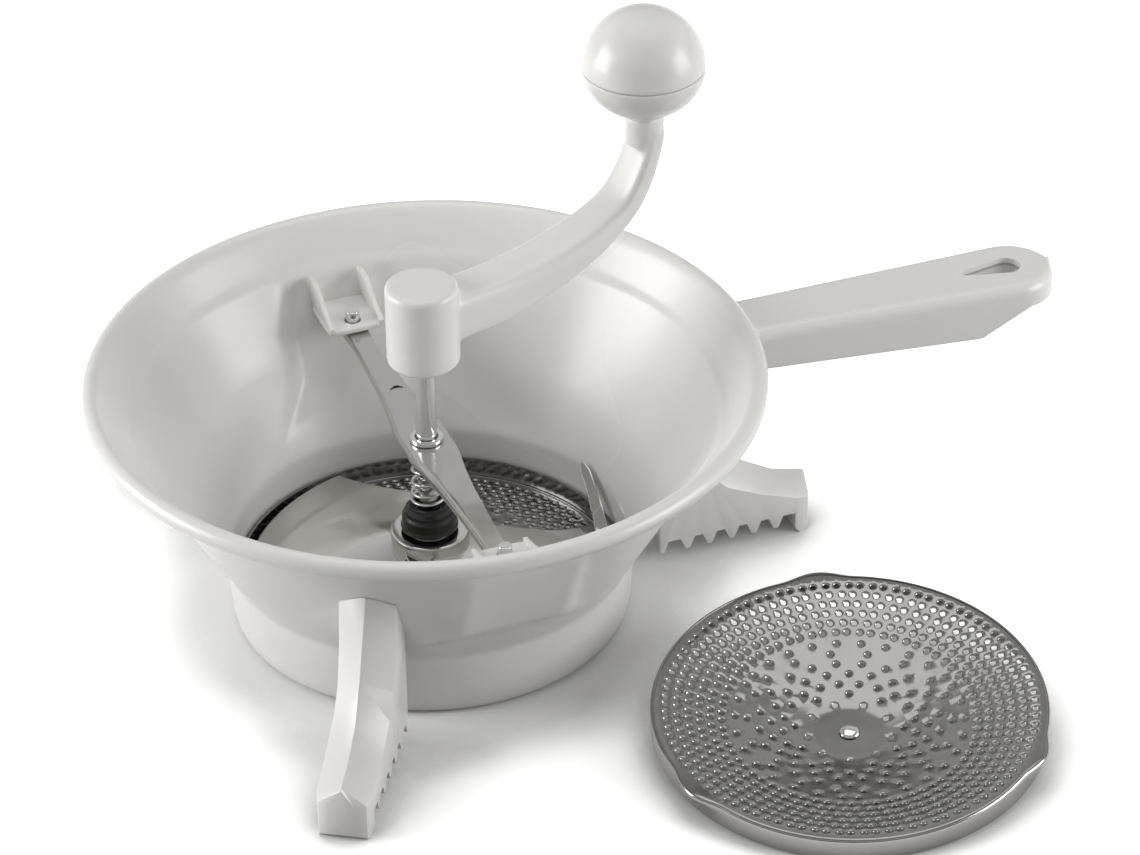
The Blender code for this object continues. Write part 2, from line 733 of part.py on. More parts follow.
def handle_side(start):
    """Side view of the handle: straight top, deepening underside and a lifted lip."""
    return [
        (start, handle_top_z(start)),
        (start, handle_top_z(start) - HANDLE_ROOT_DEPTH),
        (RIM_R, handle_top_z(RIM_R) - HANDLE_ROOT_DEPTH),
        (HANDLE_HEEL_R, handle_top_z(HANDLE_HEEL_R) - HANDLE_HEEL_DEPTH),
        (HANDLE_LIP_R, handle_top_z(HANDLE_LIP_R) - HANDLE_LIP_DEPTH),
        (HANDLE_REACH + CUT_OVERRUN, handle_top_z(HANDLE_REACH) - HANDLE_LIP_DEPTH),
        (HANDLE_REACH + CUT_OVERRUN, handle_top_z(HANDLE_REACH + CUT_OVERRUN)),
    ]


def slot_outline(grow):
    """Teardrop of the hanging slot, grown by grow."""
    end = HANDLE_REACH - SLOT_FROM_TIP
    wide = (end - SLOT_WIDE_HALF_W, 0)
    narrow = (end - SLOT_LENGTH + SLOT_NARROW_HALF_W, 0)
    lean = math.asin((SLOT_WIDE_HALF_W - SLOT_NARROW_HALF_W) / (wide[0] - narrow[0]))
    side = math.pi / 2 + lean
    outline = arc(wide, SLOT_WIDE_HALF_W + grow, -side, side, 2 * SLOT_ARC_STEPS)
    outline += arc(narrow, SLOT_NARROW_HALF_W + grow, side, 2 * math.pi - side, SLOT_ARC_STEPS)
    return outline


def upright(mesh):
    """Stand a slab drawn in XY up in the XZ plane."""
    mesh.transform(Matrix.Rotation(math.pi / 2, 4, "X"))
    return mesh


def build_handle(shop, frame, bowl_clearance):
    """The hollow handle with two cross ribs and a collared hanging slot."""
    start = FLANGE_R - STEP_RUN - POCKET_DEPTH
    depth = 2 * RIM_TOP_Z
    handle = shop.part("handle", slab_mesh(shop, "handle", handle_plan(0.0, start), depth),
                       WHITE_PLASTIC, frame, location=(0, 0, RIM_TOP_Z))
    side = shop.cutter("handle_side",
                       upright(slab_mesh(shop, "handle_side", handle_side(start), depth)), parent=frame)
    boolean(handle, side, "INTERSECT")
    boolean(handle, bowl_clearance, "DIFFERENCE")
    boolean(handle, handle_hollow(shop, frame, start), "DIFFERENCE")
    collar_low = handle_top_z(HANDLE_LIP_R) - HANDLE_LIP_DEPTH + HANDLE_RIB_WALL / 2
    collar_top = handle_top_z(HANDLE_REACH) - HANDLE_WALL / 2
    collar = slab_mesh(shop, "slot_collar", slot_outline(SLOT_COLLAR_WALL), collar_top - collar_low)
    collar_body = shop.cutter("slot_collar", collar, location=(0, 0, (collar_top + collar_low) / 2),
                              parent=frame)
    boolean(handle, collar_body, "UNION")
    slot = shop.cutter("hanging_slot", slab_mesh(shop, "hanging_slot", slot_outline(0.0), depth),
                       location=(0, 0, RIM_TOP_Z), parent=frame)
    boolean(handle, slot, "DIFFERENCE")
    return handle


def handle_hollow(shop, frame, start):
    """Cutter for the open underside: the plan inside the walls, parted by the cross ribs."""
    mesh = slab_mesh(shop, "handle_hollow", handle_plan(HANDLE_WALL, start - CUT_OVERRUN), RIM_TOP_Z)
    for vertex in mesh.vertices:
        roof = handle_top_z(vertex.co.x) - HANDLE_WALL
        vertex.co.z = roof if vertex.co.z > 0 else 0
    hollow = shop.cutter("handle_hollow", mesh, parent=frame)
    for number, rib_run in enumerate(HANDLE_RIB_RUNS):
        rib_r = RIM_R + rib_run
        low = (rib_r - HANDLE_RIB_WALL / 2, -HANDLE_TIP_HALF_W, -CUT_OVERRUN)
        high = (rib_r + HANDLE_RIB_WALL / 2, HANDLE_TIP_HALF_W, RIM_TOP_Z)
        name = "handle_rib_" + str(number)
        boolean(hollow, shop.cutter(name, box_mesh(name, low, high), parent=frame), "DIFFERENCE")
    return hollow


# Feet
def foot_rings(inset, end_share):
    """Rings across a foot from the bowl outwards: ridge, eaves and the open bottom."""
    rings = []
    for ridge_r, ridge_z, eave_r, eave_z, width in FOOT_STATION_SHARES:
        half = FOOT_HALF_W * width - inset
        if ridge_r > end_share:
            continue
        low = -CUT_OVERRUN
        ridge = (ridge_r * FOOT_REACH - inset, ridge_z * FOOT_RISE - inset)
        eave = (eave_r * FOOT_REACH - inset, eave_z * FOOT_RISE - inset)
        rings.append([
            (eave[0], -half, low), (eave[0], -half, eave[1]), (ridge[0], 0, ridge[1]),
            (eave[0], half, eave[1]), (eave[0], half, low),
        ])
    return rings


def foot_side():
    """Side view of a foot's lower edge with its teeth, closed above the foot."""
    toe_inner = FOOT_REACH - FOOT_TOE_LENGTH
    low = TOOTH_TIP_Z
    outline = [
        (0, low),
        (HEEL_STEP_R - HEEL_STEP_RUN, low),
        (HEEL_STEP_R, TOOTH_ROOT_Z),
    ]
    for i in reversed(range(TOOTH_COUNT)):
        middle = TOOTH_FIRST_R - i * TOOTH_PITCH
        outline += [
            (middle - TOOTH_ROOT_HALF_W, TOOTH_ROOT_Z),
            (middle - TOOTH_TIP_HALF_W, TOOTH_TIP_Z),
            (middle + TOOTH_TIP_HALF_W, TOOTH_TIP_Z),
            (middle + TOOTH_ROOT_HALF_W, TOOTH_ROOT_Z),
        ]
    outline += [
        (toe_inner, TOOTH_ROOT_Z),
        (toe_inner, FOOT_TOE_BEVEL),
        (toe_inner + FOOT_TOE_BEVEL, 0),
        (FOOT_REACH - FOOT_TOE_BEVEL, 0),
        (FOOT_REACH + CUT_OVERRUN, FOOT_TOE_BEVEL + CUT_OVERRUN),
        (FOOT_REACH + CUT_OVERRUN, FOOT_RISE + CUT_OVERRUN),
        (0, FOOT_RISE + CUT_OVERRUN),
    ]
    return outline


def foot_mesh(shop, bowl_clearance):
    """One foot along +X: a roofed loft with a toothed edge, hollow from below."""
    foot = shop.cutter("foot_body", loft_mesh("foot_body", foot_rings(0.0, 1.0)))
    side = shop.cutter("foot_side", upright(slab_mesh(shop, "foot_side", foot_side(), FOOT_REACH)))
    hollow_end = 1 - FOOT_SOLID_LENGTH / FOOT_REACH
    hollow = shop.cutter("foot_hollow", loft_mesh("foot_hollow", foot_rings(FOOT_WALL, hollow_end)))
    boolean(foot, side, "INTERSECT")
    boolean(foot, hollow, "DIFFERENCE")
    boolean(foot, bowl_clearance, "DIFFERENCE")
    mesh = evaluated_mesh(foot, "foot")
    for obj in (foot, side, hollow):
        bpy.data.objects.remove(obj, do_unlink=True)
    return mesh


def build_feet(shop, frame, bowl_clearance):
    """Three feet cut from one shape, each turned to its place."""
    mesh = foot_mesh(shop, bowl_clearance)
    for name, azimuth in FOOT_AZIMUTHS.items():
        shop.part(name, mesh.copy(), WHITE_PLASTIC, frame, rotation=(0, 0, azimuth))


# Bridge
def bar_row(y, half, fold):
    """Section of the bar at y: flat top, then a round fold down on the -X side."""
    row = [(half, y, 0), (0, y, 0)]
    centre = (BAR_FOLD_R - half, -BAR_FOLD_R)
    for u, v in arc(centre, BAR_FOLD_R, math.pi / 2, math.pi, FOLD_STEPS):
        row.append((u, y, v))
    row.append((-half, y, -fold))
    return row


def build_bar(shop, frame):
    """The pressed bar with holes for its bush and pins."""
    halves = BAR_STATION_SHARES[:0:-1]
    rows = [bar_row(-s * BAR_REACH, w * BAR_HALF_W, f * BAR_FOLD_DEPTH) for s, w, f in halves]
    rows += [bar_row(s * BAR_REACH, w * BAR_HALF_W, f * BAR_FOLD_DEPTH) for s, w, f in BAR_STATION_SHARES]
    bar = shop.part("bridge_bar", grid_mesh("bridge_bar", rows), POLISHED_STEEL, frame,
                    location=(0, 0, BAR_TOP_Z))
    solidify(bar, BAR_WALL, 1)
    low = BAR_TOP_Z - BAR_WALL - CUT_OVERRUN
    high = BAR_TOP_Z + CUT_OVERRUN
    bush_hole = shop.cutter("bush_hole", rods_mesh("bush_hole", [(0, 0)], BUSH_R + GAP, low, high,
                                                   SMALL_TURN_STEPS), parent=frame)
    boolean(bar, bush_hole, "DIFFERENCE")
    stems = [(0, -BAR_PIN_FROM_AXIS), (0, BAR_PIN_FROM_AXIS)]
    stem_holes = shop.cutter("stem_holes", rods_mesh("stem_holes", stems, BAR_PIN_STEM_R + GAP, low,
                                                     high, SMALL_TURN_STEPS // 2), parent=frame)
    boolean(bar, stem_holes, "DIFFERENCE")
    return bar


def rivet_outline(head_r, head_low, head_high, stem_r, tail_r, tail_low, tail_high):
    """A head above, a stem and a wider tail below, from the axis round to the axis."""
    edge = (head_high - head_low) / 4
    return [
        (0, head_high), (head_r - edge, head_high), (head_r, head_high - edge), (head_r, head_low),
        (stem_r, head_low), (stem_r, tail_high), (tail_r, tail_high), (tail_r, tail_low), (0, tail_low),
    ]


def build_bridge(shop, frame):
    """The bar, its two pins and its bush."""
    build_bar(shop, frame)
    under = BAR_TOP_Z - BAR_WALL
    outline = rivet_outline(BAR_PIN_R, BAR_TOP_Z + GAP, BAR_TOP_Z + BAR_PIN_H, BAR_PIN_STEM_R,
                            BAR_PIN_TAIL_R, under - GAP - BAR_PIN_TAIL_H, under - GAP)
    for name, y in (("bridge_pin_front", -BAR_PIN_FROM_AXIS),
                    ("bridge_pin_back", BAR_PIN_FROM_AXIS)):
        pin = shop.part(name, outline_mesh(name, outline), TURNED_STEEL, frame, location=(0, y, 0))
        turn(pin, SMALL_TURN_STEPS)
    flange_low = BAR_TOP_Z + GAP
    bush = shop.part("bridge_bush", outline_mesh("bridge_bush", [
        (BUSH_FLANGE_R, flange_low + BUSH_FLANGE_H),
        (BUSH_FLANGE_R, flange_low),
        (BUSH_R, flange_low),
        (BUSH_R, under - GAP),
        (BUSH_SWAGE_R, under - GAP),
        (BUSH_SWAGE_R, BUSH_LOW_Z),
        (SHAFT_BORE_R, BUSH_LOW_Z),
        (SHAFT_BORE_R, flange_low + BUSH_FLANGE_H),
    ]), TURNED_STEEL, frame)
    turn(bush, SMALL_TURN_STEPS)


# Sieve discs
def dish_rise(r):
    """Height of the dished sheet over its rim at a distance from the axis."""
    if r >= DISH_R:
        return 0.0
    share = max(r - BOSS_R, 0.0) / (DISH_R - BOSS_R)
    return DISH_DEPTH * (1 - share ** DISH_POWER)


def disc_outline():
    """Closed section of the sheet: skirt, rim, dome and flat boss with its rivet hole."""
    hole_r = BUTTON_STEM_R + GAP
    radii = [DISH_R + (BOSS_R - DISH_R) * i / DISH_STEPS for i in range(DISH_STEPS + 1)]
    corner = (DISC_R - DISC_ROUND, DISC_ROUND)
    inner_corner_r = DISC_ROUND - DISC_SHEET / 2
    inner = DISC_R - DISC_SHEET
    outline = [(DISC_R, DISC_SKIRT_H)]
    outline += arc(corner, DISC_ROUND, 0.0, -math.pi / 2, 3)
    outline += [(r, dish_rise(r)) for r in radii]
    outline += [(hole_r, DISH_DEPTH), (hole_r, DISH_DEPTH + DISC_SHEET)]
    outline += [(r, dish_rise(r) + DISC_SHEET) for r in reversed(radii)]
    inner_centre = (inner - inner_corner_r, DISC_SHEET + inner_corner_r)
    outline += arc(inner_centre, inner_corner_r, -math.pi / 2, 0.0, 2)
    outline.append((inner, DISC_SKIRT_H))
    return outline


def sieve_holes():
    """Places of the holes: full rings outside and a six-fold rosette inside."""
    step = 2 * math.pi / SIEVE_RING_HOLES
    polar = []
    for number, radius in enumerate(SIEVE_RING_RADII):
        shift = (number % 2) / 2
        polar += [(radius, (k + shift) * step) for k in range(SIEVE_RING_HOLES)]
    fold = SIEVE_RING_HOLES / ROSETTE_FOLDS
    for k in range(ROSETTE_FOLDS):
        polar += [(share * SIEVE_RING_RADII[-1], (k * fold + angle) * step)
                  for share, angle in ROSETTE_SHARES]
    return [(r * math.cos(a), r * math.sin(a)) for r, a in polar]


def lugs_body(shop, parent):
    """Three rounded ears outside the skirt, clear of its inside."""
    reach = DISC_R + LUG_OUT - LUG_R
    places = []
    for k in range(LUG_COUNT):
        azimuth = LUG_FIRST_AZIMUTH + 2 * math.pi * k / LUG_COUNT
        places.append((reach * math.cos(azimuth), reach * math.sin(azimuth)))
    lugs = shop.cutter("lugs", rods_mesh("lugs", places, LUG_R, DISC_ROUND / 4, LUG_H, SMALL_TURN_STEPS),
                       parent=parent)
    core = shop.cutter("lug_core", rods_mesh("lug_core", [(0, 0)], DISC_R - DISC_SHEET / 2,
                                             -CUT_OVERRUN, LUG_H + CUT_OVERRUN,
                                             DISC_TURN_STEPS),
                       parent=parent)
    boolean(lugs, core, "DIFFERENCE")
    return lugs


def sieve_mesh(shop):
    """The perforated sheet that both discs are made from."""
    sheet = shop.cutter("sieve_sheet", outline_mesh("sieve_sheet", disc_outline()))
    turn(sheet, DISC_TURN_STEPS)
    punches = shop.cutter("sieve_punches", rods_mesh(
        "sieve_punches", sieve_holes(), SIEVE_HOLE_R, -CUT_OVERRUN, DISH_DEPTH + CUT_OVERRUN,
        SIEVE_HOLE_SIDES))
    boolean(sheet, punches, "DIFFERENCE")
    mesh = evaluated_mesh(sheet, "sieve")
    for obj in (sheet, punches):
        bpy.data.objects.remove(obj, do_unlink=True)
    return mesh


def build_button(shop, name, parent):
    """The button riveted in a disc's boss: domed head below, flat tail above."""
    tail_low = DISH_DEPTH + DISC_SHEET + GAP
    head_top = DISH_DEPTH - GAP
    outline = [
        (0, tail_low + BUTTON_TAIL_H),
        (BUTTON_TAIL_R, tail_low + BUTTON_TAIL_H),
        (BUTTON_TAIL_R, tail_low),
        (BUTTON_STEM_R, tail_low),
        (BUTTON_STEM_R, head_top),
    ]
    outline += [(BUTTON_HEAD_R * u, head_top - BUTTON_HEAD_H * v) for u, v in BUTTON_DOME_SHARES]
    button = shop.part(name, outline_mesh(name, outline), TURNED_STEEL, parent)
    return turn(button, SMALL_TURN_STEPS)


def spare_frame(shop, frame):
    """Empty that turns the spare disc skirt down and leans it on its button and near rim."""
    fall = DISH_DEPTH + DISC_SHEET + GAP + BUTTON_TAIL_H
    lean = math.atan((fall - DISC_SKIRT_H) / DISC_R)
    level = Vector((-math.sin(SPARE_LEAN_AZIMUTH), math.cos(SPARE_LEAN_AZIMUTH), 0))
    flip = Matrix.Rotation(math.pi, 4, "X")
    tilt = Matrix.Rotation(lean, 4, level)
    height = fall * math.cos(lean) + BUTTON_TAIL_R * math.sin(lean)
    turned = (tilt @ flip).to_euler()
    return shop.empty("spare_disc_place", (SPARE_X, SPARE_Y, height), turned, frame)


def build_discs(shop, frame):
    """The fitted disc on the bowl's ledge and the spare one, with lugs, beside the mill."""
    mesh = sieve_mesh(shop)
    fitted = shop.empty("fitted_disc_place", (0, 0, DISC_Z), parent=frame)
    shop.part("fitted_disc", mesh, POLISHED_STEEL, fitted)
    build_button(shop, "fitted_disc_button", fitted)
    spare = spare_frame(shop, frame)
    disc = shop.part("spare_disc", mesh.copy(), POLISHED_STEEL, spare)
    boolean(disc, lugs_body(shop, spare), "UNION")
    build_button(shop, "spare_disc_button", spare)


# Blade
def wing_rows():
    """Rows of points across one wing, each row at one distance from the axis.

    Every point lies over the sieve's dome by a lift that falls from the leading edge to the
    trailing edge.
    """
    rows = []
    for share, lead, trail in WING_ROW_SHARES:
        r = share * BLADE_R
        row = []
        for i in range(WING_STEPS + 1):
            u = i / WING_STEPS
            azimuth = math.radians(lead + (trail - lead) * u)
            lift = WING_TRAIL_LIFT + (WING_LEAD_LIFT - WING_TRAIL_LIFT) * (1 - u) ** WING_LIFT_POWER
            z = RIM_PLANE_Z + dish_rise(r) + lift
            row.append((r * math.cos(azimuth), r * math.sin(azimuth), z))
        rows.append(row)
    return rows


def finger_rings():
    """Thin rings up the scraper finger, which leans back and twists towards the wall."""
    reach, _, _, foot_half, _ = FINGER_SHARES[0]
    low = RIM_PLANE_Z + dish_rise((reach - foot_half) * BLADE_R) + WING_TRAIL_LIFT
    rings = []
    for x, y, rise, half, lean in FINGER_SHARES:
        centre = Vector((x * BLADE_R, y * BLADE_R, low + rise * FINGER_RISE))
        across = Vector((1, -lean, lean)).normalized() * half * BLADE_R
        along = Vector((0, 1, FINGER_SLOPE_SHARE)).normalized()
        normal = across.cross(along).normalized() * BLADE_SHEET / 2
        rings.append([tuple(centre + s * across + t * normal)
                      for s, t in ((-1, -1), (1, -1), (1, 1), (-1, 1))])
    return rings


def build_blade(shop, crank):
    """The pressed blade: a dished middle, two wings and one scraper finger."""
    inner = BLADE_DISH_R - BLADE_DISH_WALL
    foot_z = BOSS_Z + BLADE_CLEARANCE
    top = BLADE_DISH_TOP_Z
    blade = shop.part("blade", outline_mesh("blade", [
        (BLADE_DISH_R - BLADE_DISH_ROUND, top),
        (BLADE_DISH_R, top - BLADE_DISH_ROUND),
        (BLADE_DISH_R, foot_z),
        (inner, foot_z),
        (inner, top - BLADE_SHEET),
        (SHAFT_BORE_R, top - BLADE_SHEET),
        (SHAFT_BORE_R, top),
    ]), POLISHED_STEEL, crank)
    turn(blade, BALL_TURN_STEPS)
    for number, angle in enumerate((0.0, math.pi)):
        wing = shop.cutter("wing_" + str(number), grid_mesh("wing", wing_rows()),
                           rotation=(0, 0, angle), parent=crank)
        solidify(wing, BLADE_SHEET, 0)
        boolean(blade, wing, "UNION")
    finger = shop.cutter("finger", loft_mesh("finger", finger_rings()), parent=crank)
    boolean(blade, finger, "UNION")
    return blade


def ring_outline(inner, outer, low, high):
    """Closed section of a plain ring."""
    return [(outer, high), (outer, low), (inner, low), (inner, high)]


def build_shaft_group(shop, crank, press):
    """Shaft, nut and hub of the crank, and the washer and cup that the spring presses."""
    nut_inner = SHAFT_R + GAP
    nut_floor = NUT_LOW_Z + NUT_FLOOR
    nut = shop.part("shaft_nut", outline_mesh("shaft_nut", [
        (0, nut_floor), (nut_inner, nut_floor), (nut_inner, NUT_TOP_Z), (NUT_R, NUT_TOP_Z),
        (NUT_R, nut_floor), (NUT_R - NUT_FLOOR, NUT_LOW_Z), (0, NUT_LOW_Z),
    ]), TURNED_STEEL, crank)
    turn(nut, SMALL_TURN_STEPS)
    shaft_low = nut_floor + GAP
    shaft = shop.part("crank_shaft", outline_mesh("crank_shaft", [
        (0, SHAFT_TOP_Z), (SHAFT_R - SHAFT_CHAMFER, SHAFT_TOP_Z), (SHAFT_R, SHAFT_TOP_Z - SHAFT_CHAMFER),
        (SHAFT_R, shaft_low), (0, shaft_low),
    ]), TURNED_STEEL, crank)
    turn(shaft, SMALL_TURN_STEPS)
    hub = shop.part("blade_hub", outline_mesh("blade_hub", ring_outline(
        SHAFT_BORE_R, BLADE_HUB_R, BLADE_HUB_LOW_Z, BLADE_HUB_TOP_Z)), TURNED_STEEL, crank)
    turn(hub, SMALL_TURN_STEPS)
    washer = shop.part("thrust_washer", outline_mesh("thrust_washer", ring_outline(
        SHAFT_BORE_R, WASHER_R, WASHER_Z, WASHER_Z + WASHER_H)), TURNED_STEEL, press)
    turn(washer, SMALL_TURN_STEPS)
    low_top = CUP_Z + CUP_LOW_H
    cup = shop.part("spring_cup", outline_mesh("spring_cup", [
        (CUP_TOP_R - CUP_STEP_H, CUP_TOP_Z),
        (CUP_TOP_R, CUP_TOP_Z - CUP_STEP_H),
        (CUP_TOP_R, low_top),
        (CUP_R - CUP_STEP_H, low_top),
        (CUP_R, low_top - CUP_STEP_H),
        (CUP_R, CUP_Z),
        (SHAFT_BORE_R, CUP_Z),
        (SHAFT_BORE_R, CUP_TOP_Z),
    ]), BLACK_PLASTIC, press)
    turn(cup, SMALL_TURN_STEPS)


# Pressure spring
def spring_points():
    """Centre line of the conical coil, with flatter end turns and short straight ends."""
    count = SPRING_TURNS * SPRING_POINTS_PER_TURN
    points = []
    for i in range(count + 1):
        t = i / count
        angle = 2 * math.pi * SPRING_TURNS * t
        eased = t - (1 - SPRING_DEAD_SHARE) * math.sin(2 * math.pi * t) / (2 * math.pi)
        r = SPRING_LOW_R + (SPRING_HIGH_R - SPRING_LOW_R) * t
        z = SPRING_LOW_Z + (SPRING_HIGH_Z - SPRING_LOW_Z) * eased
        points.append(Vector((r * math.cos(angle), r * math.sin(angle), z)))
    first = (points[0] - points[1]).normalized() * 2 * SPRING_WIRE_R
    last = (points[-1] - points[-2]).normalized() * 2 * SPRING_WIRE_R
    first.z = 0
    last.z = 0
    return [points[0] + first] + points + [points[-1] + last]


def least_coil_gap(points):
    """Least distance between neighbouring turns' surfaces, measured on the points."""
    apart = SPRING_POINTS_PER_TURN // 2
    least = min((a - b).length for i, a in enumerate(points) for b in points[i + apart:])
    return least - 2 * SPRING_WIRE_R


def build_spring(shop, frame):
    """The conical pressure spring, one unbroken wire."""
    points = spring_points()
    curve = bpy.data.curves.new("pressure_spring", "CURVE")
    curve.dimensions = "3D"
    curve.bevel_depth = SPRING_WIRE_R
    curve.bevel_resolution = 1
    curve.use_fill_caps = True
    spline = curve.splines.new("POLY")
    spline.points.add(len(points) - 1)
    for point, place in zip(spline.points, points):
        point.co = (*place, 1)
    spline.use_smooth = True
    shop.part("pressure_spring", curve, SPRING_STEEL, frame)
    print("least gap between the spring's turns, mm:", round(least_coil_gap(points) * 1000, 2))


# Crank arm and knob
def arm_rings():
    """Chamfered rectangles along the arm, which runs out along +X and curves up."""
    rings = []
    for up_r, up_z, low_r, low_z, width in ARM_STATION_SHARES:
        top = Vector((up_r * ARM_REACH, 0, HUB_LOW_Z + up_z * ARM_RISE))
        low = Vector((low_r * ARM_REACH, 0, HUB_LOW_Z + low_z * ARM_RISE))
        half = width * ARM_HALF_W
        edge = (low - top).normalized() * ARM_EDGE
        side = Vector((0, half, 0))
        flat = Vector((0, half - ARM_EDGE, 0))
        rings.append([tuple(p) for p in (
            top + flat, top + side + edge, low + side - edge, low + flat,
            low - flat, low - side - edge, top - side + edge, top - flat)])
    return rings


def build_arm(shop, crank):
    """The moulded arm: hub, curved arm and neck in one piece, bored for shaft and spindle."""
    high = HUB_LOW_Z + HUB_H
    outline = [(0, high)]
    outline += [(HUB_R - HUB_ROUND * u, high - HUB_ROUND * v) for u, v in HUB_ROUND_SHARES]
    outline += [(HUB_R, HUB_LOW_Z + HUB_ROUND), (HUB_R - HUB_ROUND, HUB_LOW_Z), (0, HUB_LOW_Z)]
    arm = shop.part("crank_arm", outline_mesh("crank_arm", outline), WHITE_PLASTIC, crank,
                    rotation=(0, 0, ARM_AZIMUTH))
    turn(arm, BALL_TURN_STEPS)
    beam = shop.cutter("arm_beam", loft_mesh("arm_beam", arm_rings()),
                       rotation=(0, 0, ARM_AZIMUTH), parent=crank)
    boolean(arm, beam, "UNION")
    place = knob_place()
    neck = shop.cutter("arm_neck", rods_mesh("arm_neck", [(0, 0)], NECK_R, ARM_END_Z - NECK_SUNK,
                                             NECK_TOP_Z, SMALL_TURN_STEPS),
                       location=place, parent=crank)
    boolean(arm, neck, "UNION")
    socket = shop.cutter("shaft_socket", rods_mesh("shaft_socket", [(0, 0)], SHAFT_R + GAP,
                                                   HUB_LOW_Z - CUT_OVERRUN, SHAFT_TOP_Z + GAP,
                                                   SMALL_TURN_STEPS), parent=crank)
    boolean(arm, socket, "DIFFERENCE")
    bore = shop.cutter("spindle_bore", rods_mesh("spindle_bore", [(0, 0)], SPINDLE_R + GAP,
                                                 NECK_TOP_Z - SPINDLE_SUNK - GAP,
                                                 NECK_TOP_Z + CUT_OVERRUN, SMALL_TURN_STEPS),
                       location=place, parent=crank)
    boolean(arm, bore, "DIFFERENCE")
    return arm


def knob_place():
    """Where the knob's axis stands in the crank's frame."""
    return (ARM_REACH * math.cos(ARM_AZIMUTH), ARM_REACH * math.sin(ARM_AZIMUTH), 0)


def knob_curve(radius, height, start, end, steps):
    """Points on a quarter ellipse of the knob; angles are from the level middle."""
    points = []
    for i in range(steps + 1):
        angle = start + (end - start) * i / steps
        points.append((radius * math.cos(angle), KNOB_Z + height * math.sin(angle)))
    return points


def build_knob(shop, crank, knob):
    """Spindle and clip on the crank, knob base and cap turning on them."""
    foot_angle = -math.acos(KNOB_FOOT_SHARE)
    tilt = math.asin((KNOB_SEAM_EDGE + GAP) / KNOB_R)
    inner_r = KNOB_R - KNOB_WALL
    inner_h = KNOB_LOW_H - KNOB_WALL
    bore = SPINDLE_R + SHAFT_PLAY
    tube_top = KNOB_LOW_Z + KNOB_TUBE_H
    floor = KNOB_LOW_Z + KNOB_WALL
    base_outline = [(KNOB_R - KNOB_SEAM_EDGE, KNOB_Z - GAP / 2)]
    base_outline += knob_curve(KNOB_R, KNOB_LOW_H, -tilt, foot_angle, KNOB_ARC_STEPS)
    foot_r = KNOB_R * KNOB_FOOT_SHARE - KNOB_FOOT_EDGE
    base_outline += [(foot_r, KNOB_LOW_Z), (bore, KNOB_LOW_Z), (bore, tube_top)]
    base_outline += [(KNOB_TUBE_R, tube_top), (KNOB_TUBE_R, floor)]
    inner = knob_curve(inner_r, inner_h, -math.acos(KNOB_FLOOR_R / inner_r), 0.0, KNOB_INNER_STEPS)
    base_outline += [(r, max(z, floor)) for r, z in inner[:-1]]
    base_outline.append((inner_r, KNOB_Z - GAP / 2))
    base = shop.part("knob_base", outline_mesh("knob_base", base_outline), WHITE_PLASTIC, knob)
    turn(base, BALL_TURN_STEPS)
    seam = KNOB_Z + GAP / 2
    cap_outline = [(0, KNOB_Z + KNOB_R)]
    cap_outline += knob_curve(KNOB_R, KNOB_R, math.pi / 2, tilt, KNOB_ARC_STEPS)[1:]
    cap_outline += [(KNOB_R - KNOB_SEAM_EDGE, seam), (inner_r, seam)]
    cap_outline += knob_curve(inner_r, inner_r, 2 * tilt, math.pi / 2, KNOB_INNER_STEPS)[:-1]
    cap_outline.append((0, KNOB_Z + inner_r))
    cap = shop.part("knob_cap", outline_mesh("knob_cap", cap_outline), WHITE_PLASTIC, knob)
    turn(cap, BALL_TURN_STEPS)
    clip_low = tube_top + GAP
    head_low = clip_low + CLIP_H + GAP
    head_top = head_low + SPINDLE_HEAD_H
    place = knob_place()
    spindle = shop.part("knob_spindle", outline_mesh("knob_spindle", [
        (0, head_top), (SPINDLE_HEAD_R, head_top), (SPINDLE_HEAD_R, head_low), (SPINDLE_R, head_low),
        (SPINDLE_R, NECK_TOP_Z - SPINDLE_SUNK), (0, NECK_TOP_Z - SPINDLE_SUNK),
    ]), TURNED_STEEL, crank, location=place)
    turn(spindle, SMALL_TURN_STEPS)
    clip = shop.part("knob_clip", outline_mesh("knob_clip", ring_outline(
        SPINDLE_R + GAP, CLIP_R, clip_low, clip_low + CLIP_H)), TURNED_STEEL, crank, location=place)
    turn(clip, SMALL_TURN_STEPS)


def frame_place():
    """Where the crank axis stands, so that the origin is under the middle of the set."""
    rear = FOOT_AZIMUTHS["rear_foot"]
    high = max(reach * FOOT_REACH * math.sin(rear) - width * FOOT_HALF_W * math.cos(rear)
               for _, _, reach, _, width in FOOT_STATION_SHARES)
    low = SPARE_Y - DISC_R * math.cos(math.pi / DISC_TURN_STEPS)
    return (-(HANDLE_REACH - RIM_R) / 2, -(high + low) / 2, 0)


def main():
    """Build the mill and its spare disc."""
    clear_scene()
    shop = Workshop()
    frame = shop.empty("mill_frame", frame_place())
    press = shop.empty("press_axis", parent=frame)
    crank = shop.empty("crank_axis", parent=press)
    knob = shop.empty("knob_axis", knob_place(), parent=crank)
    bowl_clearance = shop.cutter("bowl_clearance",
                                 outline_mesh("bowl_clearance", bowl_outer_outline(GAP)), parent=None)
    turn(bowl_clearance, TURN_STEPS)
    build_feet(shop, frame, bowl_clearance)
    bowl_clearance.parent = frame
    build_bowl(shop, frame)
    build_handle(shop, frame, bowl_clearance)
    build_bridge(shop, frame)
    build_spring(shop, frame)
    build_discs(shop, frame)
    build_blade(shop, crank)
    build_shaft_group(shop, crank, press)
    build_arm(shop, crank)
    build_knob(shop, crank, knob)
    print("crank axis at", [round(v, 5) for v in frame_place()])


main()
